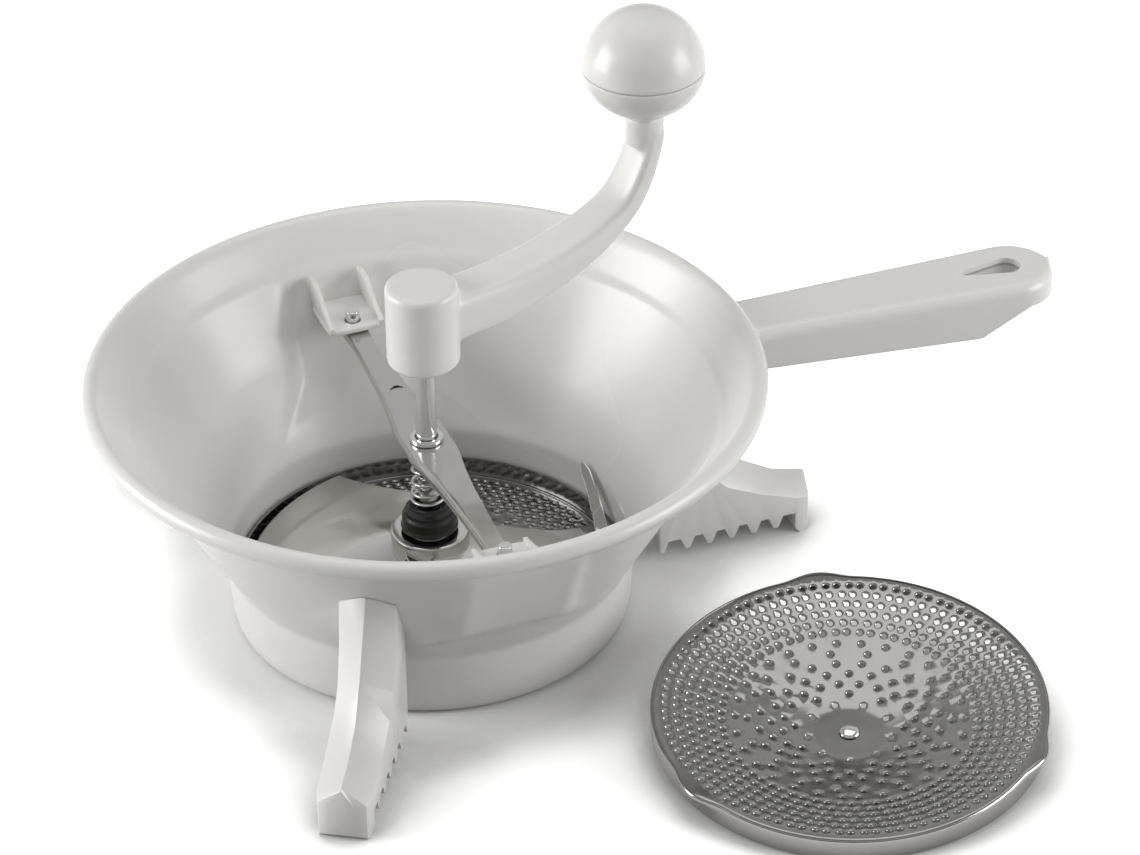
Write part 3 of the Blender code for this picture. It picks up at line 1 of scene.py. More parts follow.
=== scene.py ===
"""Looks of a hand cranked food mill and of the spare sieve disc beside it.

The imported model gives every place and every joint. Each sub-assembly below is a class that
holds its sizes in metres, works out its surfaces with numpy in the mill's own frame (crank axis
on Z, handle along +X, bridge bar along Y) and dresses them in a finish.
"""
import json
import logging
import math
from dataclasses import dataclass
from enum import Enum
from typing import Any

import bmesh
import bpy
import numpy as np
from mathutils import Matrix, Vector
from mathutils.geometry import delaunay_2d_cdt


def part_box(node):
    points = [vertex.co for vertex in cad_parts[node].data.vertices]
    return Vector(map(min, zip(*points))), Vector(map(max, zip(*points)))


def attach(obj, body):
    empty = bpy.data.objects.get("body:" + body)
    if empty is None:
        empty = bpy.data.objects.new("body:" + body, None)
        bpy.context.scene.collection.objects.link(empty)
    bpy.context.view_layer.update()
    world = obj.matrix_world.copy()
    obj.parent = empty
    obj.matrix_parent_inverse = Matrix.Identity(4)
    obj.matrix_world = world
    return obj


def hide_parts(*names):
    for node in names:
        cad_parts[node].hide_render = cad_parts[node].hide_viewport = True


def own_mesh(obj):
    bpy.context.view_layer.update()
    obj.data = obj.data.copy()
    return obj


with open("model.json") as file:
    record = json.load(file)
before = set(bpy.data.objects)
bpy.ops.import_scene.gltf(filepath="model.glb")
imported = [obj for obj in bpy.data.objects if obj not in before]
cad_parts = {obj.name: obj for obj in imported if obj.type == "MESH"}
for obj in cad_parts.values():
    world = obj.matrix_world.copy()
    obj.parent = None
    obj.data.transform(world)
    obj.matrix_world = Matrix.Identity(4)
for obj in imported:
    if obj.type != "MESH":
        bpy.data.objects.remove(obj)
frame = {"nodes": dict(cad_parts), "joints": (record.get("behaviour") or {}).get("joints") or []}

logging.basicConfig(level=logging.INFO, format="%(message)s")
log = logging.getLogger("food_mill")

Array = np.ndarray
MM = 0.001
TAU = 2 * math.pi
# points nearer than these are one: in a mesh, and in a flat net
WELD = 0.01 * MM
SAME_POINT = 1e-7
SHARP = math.radians(32)
# points on each rounded edge of a turned piece
EDGE_POINTS = 5
# most values of a noise texture lie between these
NOISE_LOW, NOISE_HIGH = 0.3, 0.7
# numbers of a colour Mix node's sockets, whose names are not unique: factor, colours, result
MIX_FACTOR, MIX_A, MIX_B, MIX_COLOUR = 0, 6, 7, 2


# Arrays and meshes
def named_joint(name: str) -> dict[str, Any]:
    """A joint of the frame by its name."""
    return next(joint for joint in frame["joints"] if joint["name"] == name)


# where the crank's axis meets the table, and the knob's axis in the mill's own frame
AXIS = np.array(named_joint("crank_turn")["pos_m"], float) * (1, 1, 0)
KNOB_AXIS = np.array(named_joint("knob_turn")["pos_m"], float) - AXIS


def node_sizes(node: str) -> tuple[float, float, float]:
    """Outer radius, lowest and highest height of a round node of the frame."""
    low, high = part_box(node)
    return (high.x - low.x) / 2, low.z, high.z


def grid_faces(rows: int, columns: int, close_rows: bool = False, close_columns: bool = False) -> Array:
    """Quads over a grid of points stored row after row.

    Args:
        rows: number of rows.
        columns: number of points in a row.
        close_rows: join the last row to the first.
        close_columns: join the last column to the first.

    Returns:
        One row of four point numbers for each quad.
    """
    i = np.arange(rows if close_rows else rows - 1)[:, None]
    j = np.arange(columns if close_columns else columns - 1)[None, :]
    i_next = (i + 1) % rows
    j_next = (j + 1) % columns
    quads = [i * columns + j, i * columns + j_next, i_next * columns + j_next, i_next * columns + j]
    return np.stack(np.broadcast_arrays(*quads), -1).reshape(-1, 4)


def make_mesh(name: str, points: Array, faces: Array) -> bpy.types.Mesh:
    """A Blender mesh from whole arrays of points and of equal faces.

    Args:
        name: name of the mesh.
        points: points in metres, in any shape that ends in x, y, z.
        faces: one row of point numbers for each face.

    Returns:
        The new mesh.
    """
    points = np.asarray(points, np.float32).reshape(-1, 3)
    faces = np.asarray(faces, np.int32)
    sides = faces.shape[1]
    mesh = bpy.data.meshes.new(name)
    mesh.vertices.add(len(points))
    mesh.vertices.foreach_set("co", points.ravel())
    mesh.loops.add(faces.size)
    mesh.loops.foreach_set("vertex_index", faces.ravel())
    mesh.polygons.add(len(faces))
    mesh.polygons.foreach_set("loop_start", np.arange(len(faces), dtype=np.int32) * sides)
    mesh.update(calc_edges=True)
    mesh.validate()
    return mesh


def close_up(mesh: bpy.types.Mesh, fill: bool = True, turn_out: bool = True) -> bpy.types.Mesh:
    """Merge doubled points, fill open ends and turn the faces outwards.

    Args:
        mesh: the mesh, which is changed.
        fill: close its open ends.
        turn_out: turn its faces outwards.

    Returns:
        The same mesh.
    """
    bm = bmesh.new()
    bm.from_mesh(mesh)
    bmesh.ops.remove_doubles(bm, verts=bm.verts, dist=WELD)
    if fill:
        open_edges = [edge for edge in bm.edges if edge.is_boundary]
        bmesh.ops.holes_fill(bm, edges=open_edges, sides=0)
    if turn_out:
        bmesh.ops.recalc_face_normals(bm, faces=bm.faces)
    bm.to_mesh(mesh)
    bm.free()
    return mesh


def shade(mesh: bpy.types.Mesh, angle: float = SHARP) -> bpy.types.Mesh:
    """Shade smooth with the edges over an angle left sharp.

    Args:
        mesh: the mesh, which is changed.
        angle: the least angle of a sharp edge.

    Returns:
        The same mesh.
    """
    mesh.shade_smooth()
    mesh.set_sharp_from_angle(angle=angle)
    return mesh


def make_object(name: str, mesh: bpy.types.Mesh) -> bpy.types.Object:
    """A piece of the scene that holds a mesh at the origin.

    Args:
        name: name of the piece.
        mesh: the mesh that it holds.

    Returns:
        The new piece.
    """
    obj = bpy.data.objects.new(name, mesh)
    bpy.context.scene.collection.objects.link(obj)
    return obj


def settle(obj: bpy.types.Object, move: Matrix | None = None) -> bpy.types.Object:
    """Apply an object's modifiers, then move its points to their place in the row's frame.

    Args:
        obj: the piece, modelled in the mill's own frame.
        move: a turn and shift within that frame, if it has one.

    Returns:
        The same piece.
    """
    depsgraph = bpy.context.evaluated_depsgraph_get()
    mesh = bpy.data.meshes.new_from_object(obj.evaluated_get(depsgraph))
    old = obj.data
    obj.modifiers.clear()
    obj.data = mesh
    mesh.name = old.name
    if old.users == 0:
        bpy.data.meshes.remove(old)
    mesh.transform(Matrix.Translation(AXIS) @ (move or Matrix.Identity(4)))
    return obj


def join_meshes(name: str, meshes: list[bpy.types.Mesh]) -> bpy.types.Mesh:
    """Several meshes as one, each still a body of its own.

    Args:
        name: name of the joined mesh.
        meshes: the meshes to join.

    Returns:
        The joined mesh.
    """
    bm = bmesh.new()
    for mesh in meshes:
        bm.from_mesh(mesh)
    joined = bpy.data.meshes.new(name)
    bm.to_mesh(joined)
    bm.free()
    return joined


def add_bevel(obj: bpy.types.Object, width: float, segments: int = 3, angle: float = SHARP) -> None:
    """Round the edges that are sharper than an angle.

    Args:
        obj: the piece.
        width: width of the rounding.
        segments: how many faces round it.
        angle: the least angle of a rounded edge.
    """
    bevel = obj.modifiers.new("rounded_edges", "BEVEL")
    bevel.width = width
    bevel.segments = segments
    bevel.limit_method = "ANGLE"
    bevel.angle_limit = angle


def add_sheet(obj: bpy.types.Object, thickness: float, offset: float = 0.0) -> None:
    """Give an open surface its thickness.

    Args:
        obj: the piece, an open surface.
        thickness: thickness of the sheet.
        offset: -1 behind the surface, 0 on both sides of it, 1 before it.
    """
    sheet = obj.modifiers.new("sheet", "SOLIDIFY")
    sheet.thickness = thickness
    sheet.offset = offset
    sheet.use_even_offset = True


def cut_away(obj: bpy.types.Object, mesh: bpy.types.Mesh) -> bpy.types.Object:
    """Cut a closed mesh out of an object and drop the cutter.

    Args:
        obj: the piece to cut.
        mesh: the closed mesh to cut it with.

    Returns:
        The same piece.
    """
    cutter = make_object("cutter", mesh)
    modifier = obj.modifiers.new("cut", "BOOLEAN")
    modifier.object = cutter
    modifier.operation = "DIFFERENCE"
    depsgraph = bpy.context.evaluated_depsgraph_get()
    result = bpy.data.meshes.new_from_object(obj.evaluated_get(depsgraph))
    obj.modifiers.clear()
    obj.data = result
    bpy.data.objects.remove(cutter, do_unlink=True)
    return obj


def smooth_through(at: Array, knots: Array, values: Array) -> Array:
    """Values on a smooth line through knots: cubic pieces whose slopes are the knots' mean slopes.

    Args:
        at: where the values are wanted.
        knots: where they are given, rising.
        values: a value or a row of values for each knot.

    Returns:
        A value or row for each place.
    """
    knots = np.asarray(knots, float)
    values = np.asarray(values, float)
    slopes = np.gradient(values, knots, axis=0)
    k = np.clip(np.searchsorted(knots, at, side="right") - 1, 0, len(knots) - 2)
    span = knots[k + 1] - knots[k]
    t = (at - knots[k]) / span
    if values.ndim > 1:
        t, span = t[:, None], span[:, None]
    start = (1 + 2 * t) * (1 - t) ** 2 * values[k] + t * (1 - t) ** 2 * span * slopes[k]
    return start + t * t * (3 - 2 * t) * values[k + 1] + t * t * (t - 1) * span * slopes[k + 1]


def larger(a: Array, b: Array, soft: float) -> Array:
    """The larger of two fields; where they differ by less than soft the edge is rounded by a parabola."""
    near = np.maximum(soft - np.abs(a - b), 0) / soft
    return np.maximum(a, b) + near * near * soft / 4


def smaller(a: Array, b: Array, soft: float) -> Array:
    """The smaller of two fields, rounded the same way."""
    return -larger(-a, -b, soft)


def even_line(points: Array, step: float) -> Array:
    """Points at an even step along a line of straight runs.

    Args:
        points: corners of the line.
        step: distance between the new points.

    Returns:
        The new points, with both ends in place.
    """
    points = np.asarray(points, float)
    lengths = np.linalg.norm(np.diff(points, axis=0), axis=1)
    along = np.concatenate([[0], np.cumsum(lengths)])
    at = np.linspace(0, along[-1], max(int(round(along[-1] / step)), 2) + 1)
    return np.stack([np.interp(at, along, points[:, k]) for k in range(points.shape[1])], 1)


def rounded_line(points: Array, radius: float, step: float, turn: float = math.radians(11)) -> Array:
    """A line of straight runs with its corners rounded.

    The line is sampled finely, each point becomes the mean of its neighbours within the radius,
    and the result is thinned to one point for each step of length or turn of direction.

    Args:
        points: corners of the line.
        radius: how far the mean reaches along the line.
        step: longest distance between the kept points.
        turn: largest change of direction between them.

    Returns:
        The kept points, with both ends of the line in place.
    """
    reach = 6
    line = even_line(points, radius / reach)
    padded = np.pad(line, ((reach, reach), (0, 0)), mode="reflect", reflect_type="odd")
    kernel = np.ones(2 * reach + 1) / (2 * reach + 1)
    line = np.stack([np.convolve(padded[:, k], kernel, "valid") for k in range(line.shape[1])], 1)
    runs = np.diff(line, axis=0)
    lengths = np.linalg.norm(runs, axis=1)
    heading = np.unwrap(np.arctan2(runs[:, 1], runs[:, 0]))
    bends = np.concatenate([[0], np.abs(np.diff(heading))])
    weight = np.concatenate([[0], np.cumsum(lengths / step + bends / turn)])
    at = np.linspace(0, weight[-1], int(math.ceil(weight[-1])) + 1)
    return np.stack([np.interp(at, weight, line[:, k]) for k in range(line.shape[1])], 1)


def arc_points(centre: tuple[float, float], radius: float, start: float, end: float, count: int) -> Array:
    """Points on an arc, both ends included."""
    angle = np.linspace(start, end, count)
    return np.stack([centre[0] + radius * np.cos(angle), centre[1] + radius * np.sin(angle)], 1)


def round_axis(radius: Array | float, angle: Array) -> Array:
    """Points (x, y) at a radius and at angles round the axis."""
    return np.stack([radius * np.cos(angle), radius * np.sin(angle)], 1)


def turned_mesh(name: str, profile: Array, steps: int = 96, closed: bool = False,
                centre: Array | None = None) -> bpy.types.Mesh:
    """A profile (radius, height) turned about an upright axis: x = r cos a, y = r sin a, z = height.

    Args:
        name: name of the mesh.
        profile: points of the profile.
        steps: how many times it is repeated round the axis.
        closed: the profile is a ring, and otherwise its ends lie on the axis.
        centre: where the axis stands, in the mill's frame.

    Returns:
        A closed mesh with its faces outwards.
    """
    profile = np.asarray(profile, float)
    angle = np.arange(steps) * TAU / steps
    radius, height = profile[:, 0][:, None], profile[:, 1][:, None]
    points = np.stack([radius * np.cos(angle), radius * np.sin(angle), height + 0 * angle], -1)
    if centre is not None:
        points = points + np.array([centre[0], centre[1], 0])
    mesh = make_mesh(name, points, grid_faces(len(profile), steps, closed, True))
    return shade(close_up(mesh))


def turned_piece(name: str, profile: Array, steps: int = 96, closed: bool = False,
                 centre: Array | None = None) -> bpy.types.Object:
    """A turned mesh as a piece in its place, from the same arguments."""
    return settle(make_object(name, turned_mesh(name, profile, steps, closed, centre)))


def soft_ring(inner: float, outer: float, low: float, high: float, edge: float) -> Array:
    """Closed profile of a ring with rounded edges.

    Args:
        inner: radius of the bore.
        outer: outer radius.
        low: height of the lower face.
        high: height of the upper face.
        edge: radius of the edges.

    Returns:
        Points (radius, height), without the first one repeated.
    """
    quarter = math.pi / 2
    corners = [(outer - edge, high - edge, 0), (inner + edge, high - edge, 1),
               (inner + edge, low + edge, 2), (outer - edge, low + edge, 3)]
    return np.concatenate([arc_points((r, z), edge, k * quarter, (k + 1) * quarter, EDGE_POINTS)
                           for r, z, k in corners])


def soft_rod(radius: float, low: float, high: float, edge: float) -> Array:
    """Profile of a rod with rounded ends, from the axis round to the axis.

    Args:
        radius: radius of the rod.
        low: height of the lower end.
        high: height of the upper end.
        edge: radius of the edges.

    Returns:
        Points (radius, height), top to bottom.
    """
    top = arc_points((radius - edge, high - edge), edge, math.pi / 2, 0, EDGE_POINTS)
    bottom = arc_points((radius - edge, low + edge), edge, 0, -math.pi / 2, EDGE_POINTS)
    return np.concatenate([[(0, high)], top, bottom, [(0, low)]])


def ring_piece(name: str, node: str, bore: float, edge: float = 0.3 * MM) -> bpy.types.Object:
    """A turned ring in a node's place, with edges of at most a third of its height.

    Args:
        name: name of the piece.
        node: the node whose place it takes.
        bore: radius of the bore.
        edge: radius of the edges.

    Returns:
        The finished piece.
    """
    radius, low, high = node_sizes(node)
    line = soft_ring(bore, radius, low, high, min(edge, (high - low) / 3))
    box_low, box_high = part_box(node)
    centre = (np.array(box_low) + np.array(box_high)) / 2 - AXIS
    return turned_piece(name, line, 72, True, centre)


def across_x(x: float) -> Matrix:
    """Stands a flat outline (y, z) up, with its thickness along X and its middle at x."""
    return Matrix(((0, 0, 1, x), (1, 0, 0, 0), (0, 1, 0, 0), (0, 0, 0, 1)))


def prism_mesh(name: str, outline: Array, low: float, high: float, matrix: Matrix) -> bpy.types.Mesh:
    """A flat outline given a thickness between two heights, then put in place by a matrix.

    Args:
        name: name of the mesh.
        outline: points (x, y) of the outline.
        low: height of the lower face.
        high: height of the upper face.
        matrix: the turn and shift to its place.

    Returns:
        A closed mesh.
    """
    outline = np.asarray(outline, float)
    count = len(outline)
    bottom = np.column_stack([outline, np.full(count, low)])
    top = np.column_stack([outline, np.full(count, high)])
    mesh = bpy.data.meshes.new(name)
    sides = grid_faces(2, count, False, True).tolist()
    caps = [list(range(count))[::-1], list(range(count, 2 * count))]
    mesh.from_pydata(np.concatenate([bottom, top]).tolist(), [], sides + caps)
    mesh.transform(matrix)
    return close_up(mesh)


# Finishes
def linear(code: str) -> tuple[float, float, float, float]:
    """An sRGB hex colour as linear light with full alpha.

    Args:
        code: the colour as #rrggbb.

    Returns:
        Red, green, blue and alpha.
    """
    values = np.array([int(code[k:k + 2], 16) for k in (1, 3, 5)]) / 255
    values = np.where(values <= 0.04045, values / 12.92, ((values + 0.055) / 1.055) ** 2.4)
    return (*values.tolist(), 1.0)


def add_node(tree: bpy.types.NodeTree, kind: str, sockets: dict[Any, Any] | None = None,
             **settings: Any) -> bpy.types.Node:
    """Add one node to a tree.

    Args:
        tree: the tree that takes it.
        kind: the node's type.
        sockets: a value, or another node's output, for each socket's name or number.
        settings: the node's own properties.

    Returns:
        The new node.
    """
    node = tree.nodes.new(kind)
    for name, value in settings.items():
        setattr(node, name, value)
    for name, value in (sockets or {}).items():
        if isinstance(value, bpy.types.NodeSocket):
            tree.links.new(value, node.inputs[name])
        else:
            node.inputs[name].default_value = value
    return node


def empty_material(name: str) -> tuple[bpy.types.Material, bpy.types.NodeTree, bpy.types.Node]:
    """A material with only its output node.

    Args:
        name: name of the material.

    Returns:
        The material, its node tree and its output node.
    """
    material = bpy.data.materials.new(name)
    material.use_nodes = True
    tree = material.node_tree
    tree.nodes.clear()
    return material, tree, add_node(tree, "ShaderNodeOutputMaterial")


def pattern(tree: bpy.types.NodeTree, spacing: float, stretch: tuple[float, float, float] = (1, 1, 1),
            detail: float = 2.0) -> bpy.types.NodeSocket:
    """Noise over Object coordinates whose grains lie a real spacing apart.

    Args:
        tree: the tree that takes the nodes.
        spacing: distance between grains, in metres.
        stretch: factors on the coordinates, below 1 where the grains are long.
        detail: how many finer layers it has.

    Returns:
        The noise's value.
    """
    place = add_node(tree, "ShaderNodeTexCoord")
    mapping = add_node(tree, "ShaderNodeMapping", {"Vector": place.outputs["Object"], "Scale": stretch})
    noise = add_node(tree, "ShaderNodeTexNoise", {"Vector": mapping.outputs[0], "Scale": 1 / spacing,
                                                  "Detail": detail})
    return noise.outputs[0]


def spread(tree: bpy.types.NodeTree, value: bpy.types.NodeSocket, low: float,
           high: float) -> bpy.types.NodeSocket:
    """Noise mapped to a range between two values."""
    node = add_node(tree, "ShaderNodeMapRange", {
        "Value": value, "From Min": NOISE_LOW, "From Max": NOISE_HIGH, "To Min": low, "To Max": high})
    return node.outputs[0]


@dataclass(frozen=True)
class MouldedPlastic:
    """Injection moulded ABS from a polished tool: even colour, soft gloss, a trace of orange peel."""

    name: str
    colour: str
    shadow_colour: str
    roughness: float
    slot: str
    ior: float = 1.54
    peel_spacing: float = 3.2 * MM
    peel_depth: float = 0.004 * MM
    peel_strength: float = 0.35
    cloud_spacing: float = 70 * MM
    gloss_spread: float = 0.015

    def material(self) -> bpy.types.Material:
        """Build the plastic's material.

        Returns:
            The new material.
        """
        material, tree, output = empty_material(self.name)
        clouds = spread(tree, pattern(tree, self.cloud_spacing), 0.0, 1.0)
        mixed = add_node(tree, "ShaderNodeMix", {
            MIX_FACTOR: clouds, MIX_A: linear(self.colour), MIX_B: linear(self.shadow_colour)},
            data_type="RGBA")
        peel = pattern(tree, self.peel_spacing)
        bump = add_node(tree, "ShaderNodeBump", {"Height": peel, "Strength": self.peel_strength,
                                                 "Distance": self.peel_depth})
        gloss = spread(tree, pattern(tree, self.cloud_spacing, detail=0.0),
                       self.roughness * (1 - self.gloss_spread), self.roughness * (1 + self.gloss_spread))
        shader = add_node(tree, "ShaderNodeBsdfPrincipled", {
            "Base Color": mixed.outputs[MIX_COLOUR], "Roughness": gloss, "IOR": self.ior,
            "Normal": bump.outputs[0]})
        tree.links.new(shader.outputs[0], output.inputs[0])
        return material


class Grain(Enum):
    """How a steel surface was made, as the stretch of its marks along X, Y and Z."""

    PLAIN = (1.0, 1.0, 1.0)
    ROLLED = (0.06, 1.0, 1.0)
    DRAWN = (1.0, 1.0, 0.05)


@dataclass(frozen=True)
class BrightSteel:
    """Stainless or plated steel, rolled or turned, then polished: sharp reflections, faint marks."""

    name: str
    colour: str
    roughness: float
    slot: str
    grain: Grain = Grain.PLAIN
    mark_spacing: float = 1.1 * MM
    mark_depth: float = 0.006 * MM
    mark_strength: float = 0.5
    gloss_patch_marks: float = 12
    gloss_shares: tuple[float, float] = (0.6, 1.5)

    def material(self) -> bpy.types.Material:
        """Build the steel's material.

        Returns:
            The new material.
        """
        material, tree, output = empty_material(self.name)
        marks = pattern(tree, self.mark_spacing, self.grain.value, 5.0)
        patches = pattern(tree, self.gloss_patch_marks * self.mark_spacing, self.grain.value, 3.0)
        gloss = spread(tree, patches, *[self.roughness * share for share in self.gloss_shares])
        bump = add_node(tree, "ShaderNodeBump", {"Height": marks, "Strength": self.mark_strength,
                                                 "Distance": self.mark_depth})
        shader = add_node(tree, "ShaderNodeBsdfPrincipled", {
            "Base Color": linear(self.colour), "Metallic": 1.0, "Roughness": gloss,
            "Normal": bump.outputs[0]})
        tree.links.new(shader.outputs[0], output.inputs[0])
        return material


WHITE_ABS = MouldedPlastic("moulded_white_abs", "#eae9e6", "#e9e8e5", 0.27, "white_plastic")
BLACK_ABS = MouldedPlastic("moulded_black_abs", "#131314", "#171718", 0.34, "black_plastic")
MIRROR_SHEET = BrightSteel("polished_stainless_sheet", "#cfcecb", 0.07, "polished_steel",
                           Grain.ROLLED, 2.5 * MM, 0.004 * MM)
SIEVE_SHEET = BrightSteel("punched_stainless_sheet", "#9a9998", 0.16, "polished_steel",
                          Grain.DRAWN, 1.3 * MM, 0.010 * MM)
BAR_SHEET = BrightSteel("pressed_stainless_bar", "#c3c2bf", 0.16, "polished_steel",
                        Grain.PLAIN, 0.9 * MM, 0.005 * MM)
CHROMED = BrightSteel("chromed_turned_steel", "#dcdcdb", 0.05, "turned_steel")
SPRING_WIRE = BrightSteel("drawn_spring_wire", "#cfcfce", 0.12, "spring_steel")


class Bench:
    """Gives each piece its finish, its body and the nodes it stands for."""

    def __init__(self) -> None:
        """Start with no materials made."""
        self.materials: dict[str, bpy.types.Material] = {}

    def dress(self, obj: bpy.types.Object, finish: MouldedPlastic | BrightSteel, body: str,
              *nodes: str) -> bpy.types.Object:
        """Put a finish on a piece, let it ride on a body and report it.

        Args:
            obj: the piece, already in its place.
            finish: the finish that it gets.
            body: the body that it moves with.
            nodes: the nodes of the frame that it stands for.

        Returns:
            The same piece.
        """
        if finish.name not in self.materials:
            self.materials[finish.name] = finish.material()
        obj.data.materials.clear()
        obj.data.materials.append(self.materials[finish.name])
        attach(obj, body)
        if nodes:
            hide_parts(*nodes)
        log.info("%s: %d faces on %s", obj.name, len(obj.data.polygons), body)
        return obj


# Bowl
@dataclass
class Bowl:
    """The moulded bowl with its bead, step ring, two bracket pockets and ledge."""

    rim_r: float = 120.0 * MM
    rim_top_z: float = 96.1 * MM
    bead_r: float = 3.4 * MM
    bead_lip_share: float = 0.41
    flange_r: float = 105.3 * MM
    flange_z: float = 82.9 * MM
    step_run: float = 2.0 * MM
    step_drop: float = 1.4 * MM
    cone_r: float = 70.6 * MM
    cone_z: float = 26.0 * MM
    seat_r: float = 69.0 * MM
    wall: float = 2.0 * MM
    ledge_z: float = 7.3 * MM
    ledge_wall: float = 1.8 * MM
    outlet_r: float = 64.5 * MM
    base_round_w: float = 3.6 * MM
    base_round_h: float = 5.0 * MM
    base_face_w: float = 2.4 * MM
    pocket_half_w: float = 20.0 * MM
    pocket_low_z: float = 44.0 * MM
    pocket_high_z: float = 78.0 * MM
    pocket_low_r: float = 86.0 * MM
    pocket_high_r: float = 102.8 * MM
    pocket_span: float = math.radians(60)
    softness: float = 2.6 * MM
    inner_round: float = 1.6 * MM
    outer_round: float = 1.5 * MM
    point_step: float = 1.7 * MM
    bead_end: float = math.radians(-100)
    crease: float = math.radians(50)
    columns: int = 384

    def inner_corners(self) -> Array:
        """Corners of the inner face, from the ledge up to the bead's lip.

        Returns:
            Points (radius, height).
        """
        lip_r = self.rim_r - 2 * self.bead_r
        lip_z = self.rim_top_z - self.bead_r + self.bead_r * self.bead_lip_share
        return np.array([
            (self.outlet_r, self.ledge_z), (self.seat_r, self.ledge_z), (self.cone_r, self.cone_z),
            (self.flange_r - self.step_run, self.flange_z - self.step_drop),
            (self.flange_r, self.flange_z), (lip_r, lip_z)])

    def outer_radius(self, z: Array) -> Array:
        """Radius of the outer wall at a height, below the bead and away from the pockets."""
        corners = self.inner_corners()[1:]
        return np.interp(z, corners[:, 1], corners[:, 0]) + self.wall

    def profile(self) -> tuple[Array, Array]:
        """Closed section of the wall and, for each point, its share of the wall's thickness.

        Returns:
            Points (radius, height) up the inside, over the bead, down the outside and under the
            ledge, and 0 for a point on the inner face or 1 for one on the outer face.
        """
        bead = (self.rim_r - self.bead_r, self.rim_top_z - self.bead_r)
        inner = rounded_line(self.inner_corners(), self.inner_round, self.point_step)
        over = arc_points(bead, self.bead_r, math.pi - math.asin(self.bead_lip_share),
                          self.bead_end, 22)
        seat_outer = self.seat_r + self.wall
        base_inner = seat_outer - self.base_round_w - self.base_face_w
        under = self.ledge_z - self.ledge_wall
        corners = self.inner_corners()[1:-1][::-1] + (self.wall, 0)
        neck = (bead[0] - self.bead_r, bead[1] - self.bead_r)
        down = np.concatenate([[over[-1], neck], corners[:-1], [
            (seat_outer, self.base_round_h),
            (seat_outer - self.base_round_w / 4, self.base_round_h / 3),
            (seat_outer - self.base_round_w, 0),
            (base_inner, 0), (base_inner, under - (base_inner - self.outlet_r)),
            (self.outlet_r, under), (self.outlet_r, self.ledge_z)]])
        outer = rounded_line(down, self.outer_round, self.point_step)
        line = np.concatenate([inner, over[1:-1], outer[:-1]])
        share = np.concatenate([np.zeros(len(inner)), np.ones(len(over) - 2 + len(outer) - 1)])
        return line, share

    def pocket_face(self, z: Array | float) -> Array | float:
        """Distance of a pocket's sloping outer face from the axis at a height."""
        slope = (self.pocket_high_r - self.pocket_low_r) / (self.pocket_high_z - self.pocket_low_z)
        return self.pocket_low_r + (z - self.pocket_low_z) * slope

    def pocket_radius(self, azimuth: Array, z: Array, inset: Array) -> Array:
        """Distance to a pocket's drafted block along a level ray.

        The block is bounded by a sloping flat face and by four sides that open at 45 degrees. A
        ray at angle a from the pocket's middle meets the face at face / cos a and a side at
        (half width + face) / (sin a + cos a). The smallest of these bounds holds.

        Args:
            azimuth: direction of the ray.
            z: its height.
            inset: how far the face lies inside the outer one.

        Returns:
            The distance from the axis, or 0 away from the pockets.
        """
        away = np.abs((azimuth + math.pi) % math.pi - math.pi / 2)
        inside = np.minimum(away, self.pocket_span)
        face = self.pocket_face(z) - inset
        low_face = face - (self.pocket_low_z + inset / 2 - z)
        high_face = face - (z - self.pocket_high_z + inset / 2)
        side = (self.pocket_half_w - inset / 2 + face) / (np.sin(inside) + np.cos(inside))
        front = smaller(smaller(face, low_face, self.softness), high_face, self.softness)
        reach = smaller(front / np.cos(inside), side, self.softness)
        return np.where(away < self.pocket_span, reach, 0)

    def shell(self) -> bpy.types.Object:
        """The wall: radius = the larger of the profile's and the pockets', with a rounded edge.

        Returns:
            The finished piece.
        """
        line, share = self.profile()
        azimuth = np.arange(self.columns) * TAU / self.columns
        z = line[:, 1][:, None] + 0 * azimuth
        radius = line[:, 0][:, None] + 0 * azimuth
        inset = (1 - share)[:, None] * self.wall
        pocket = self.pocket_radius(azimuth[None, :], z, inset)
        walls = (z > self.cone_z) & (z < self.flange_z - self.step_drop)
        radius = np.where(walls, larger(radius, pocket, self.softness), radius)
        points = np.stack([radius * np.cos(azimuth), radius * np.sin(azimuth), z], -1)
        mesh = make_mesh("bowl_shell", points, grid_faces(len(line), self.columns, True, True))
        return settle(make_object("bowl_shell", shade(close_up(mesh), self.crease)))


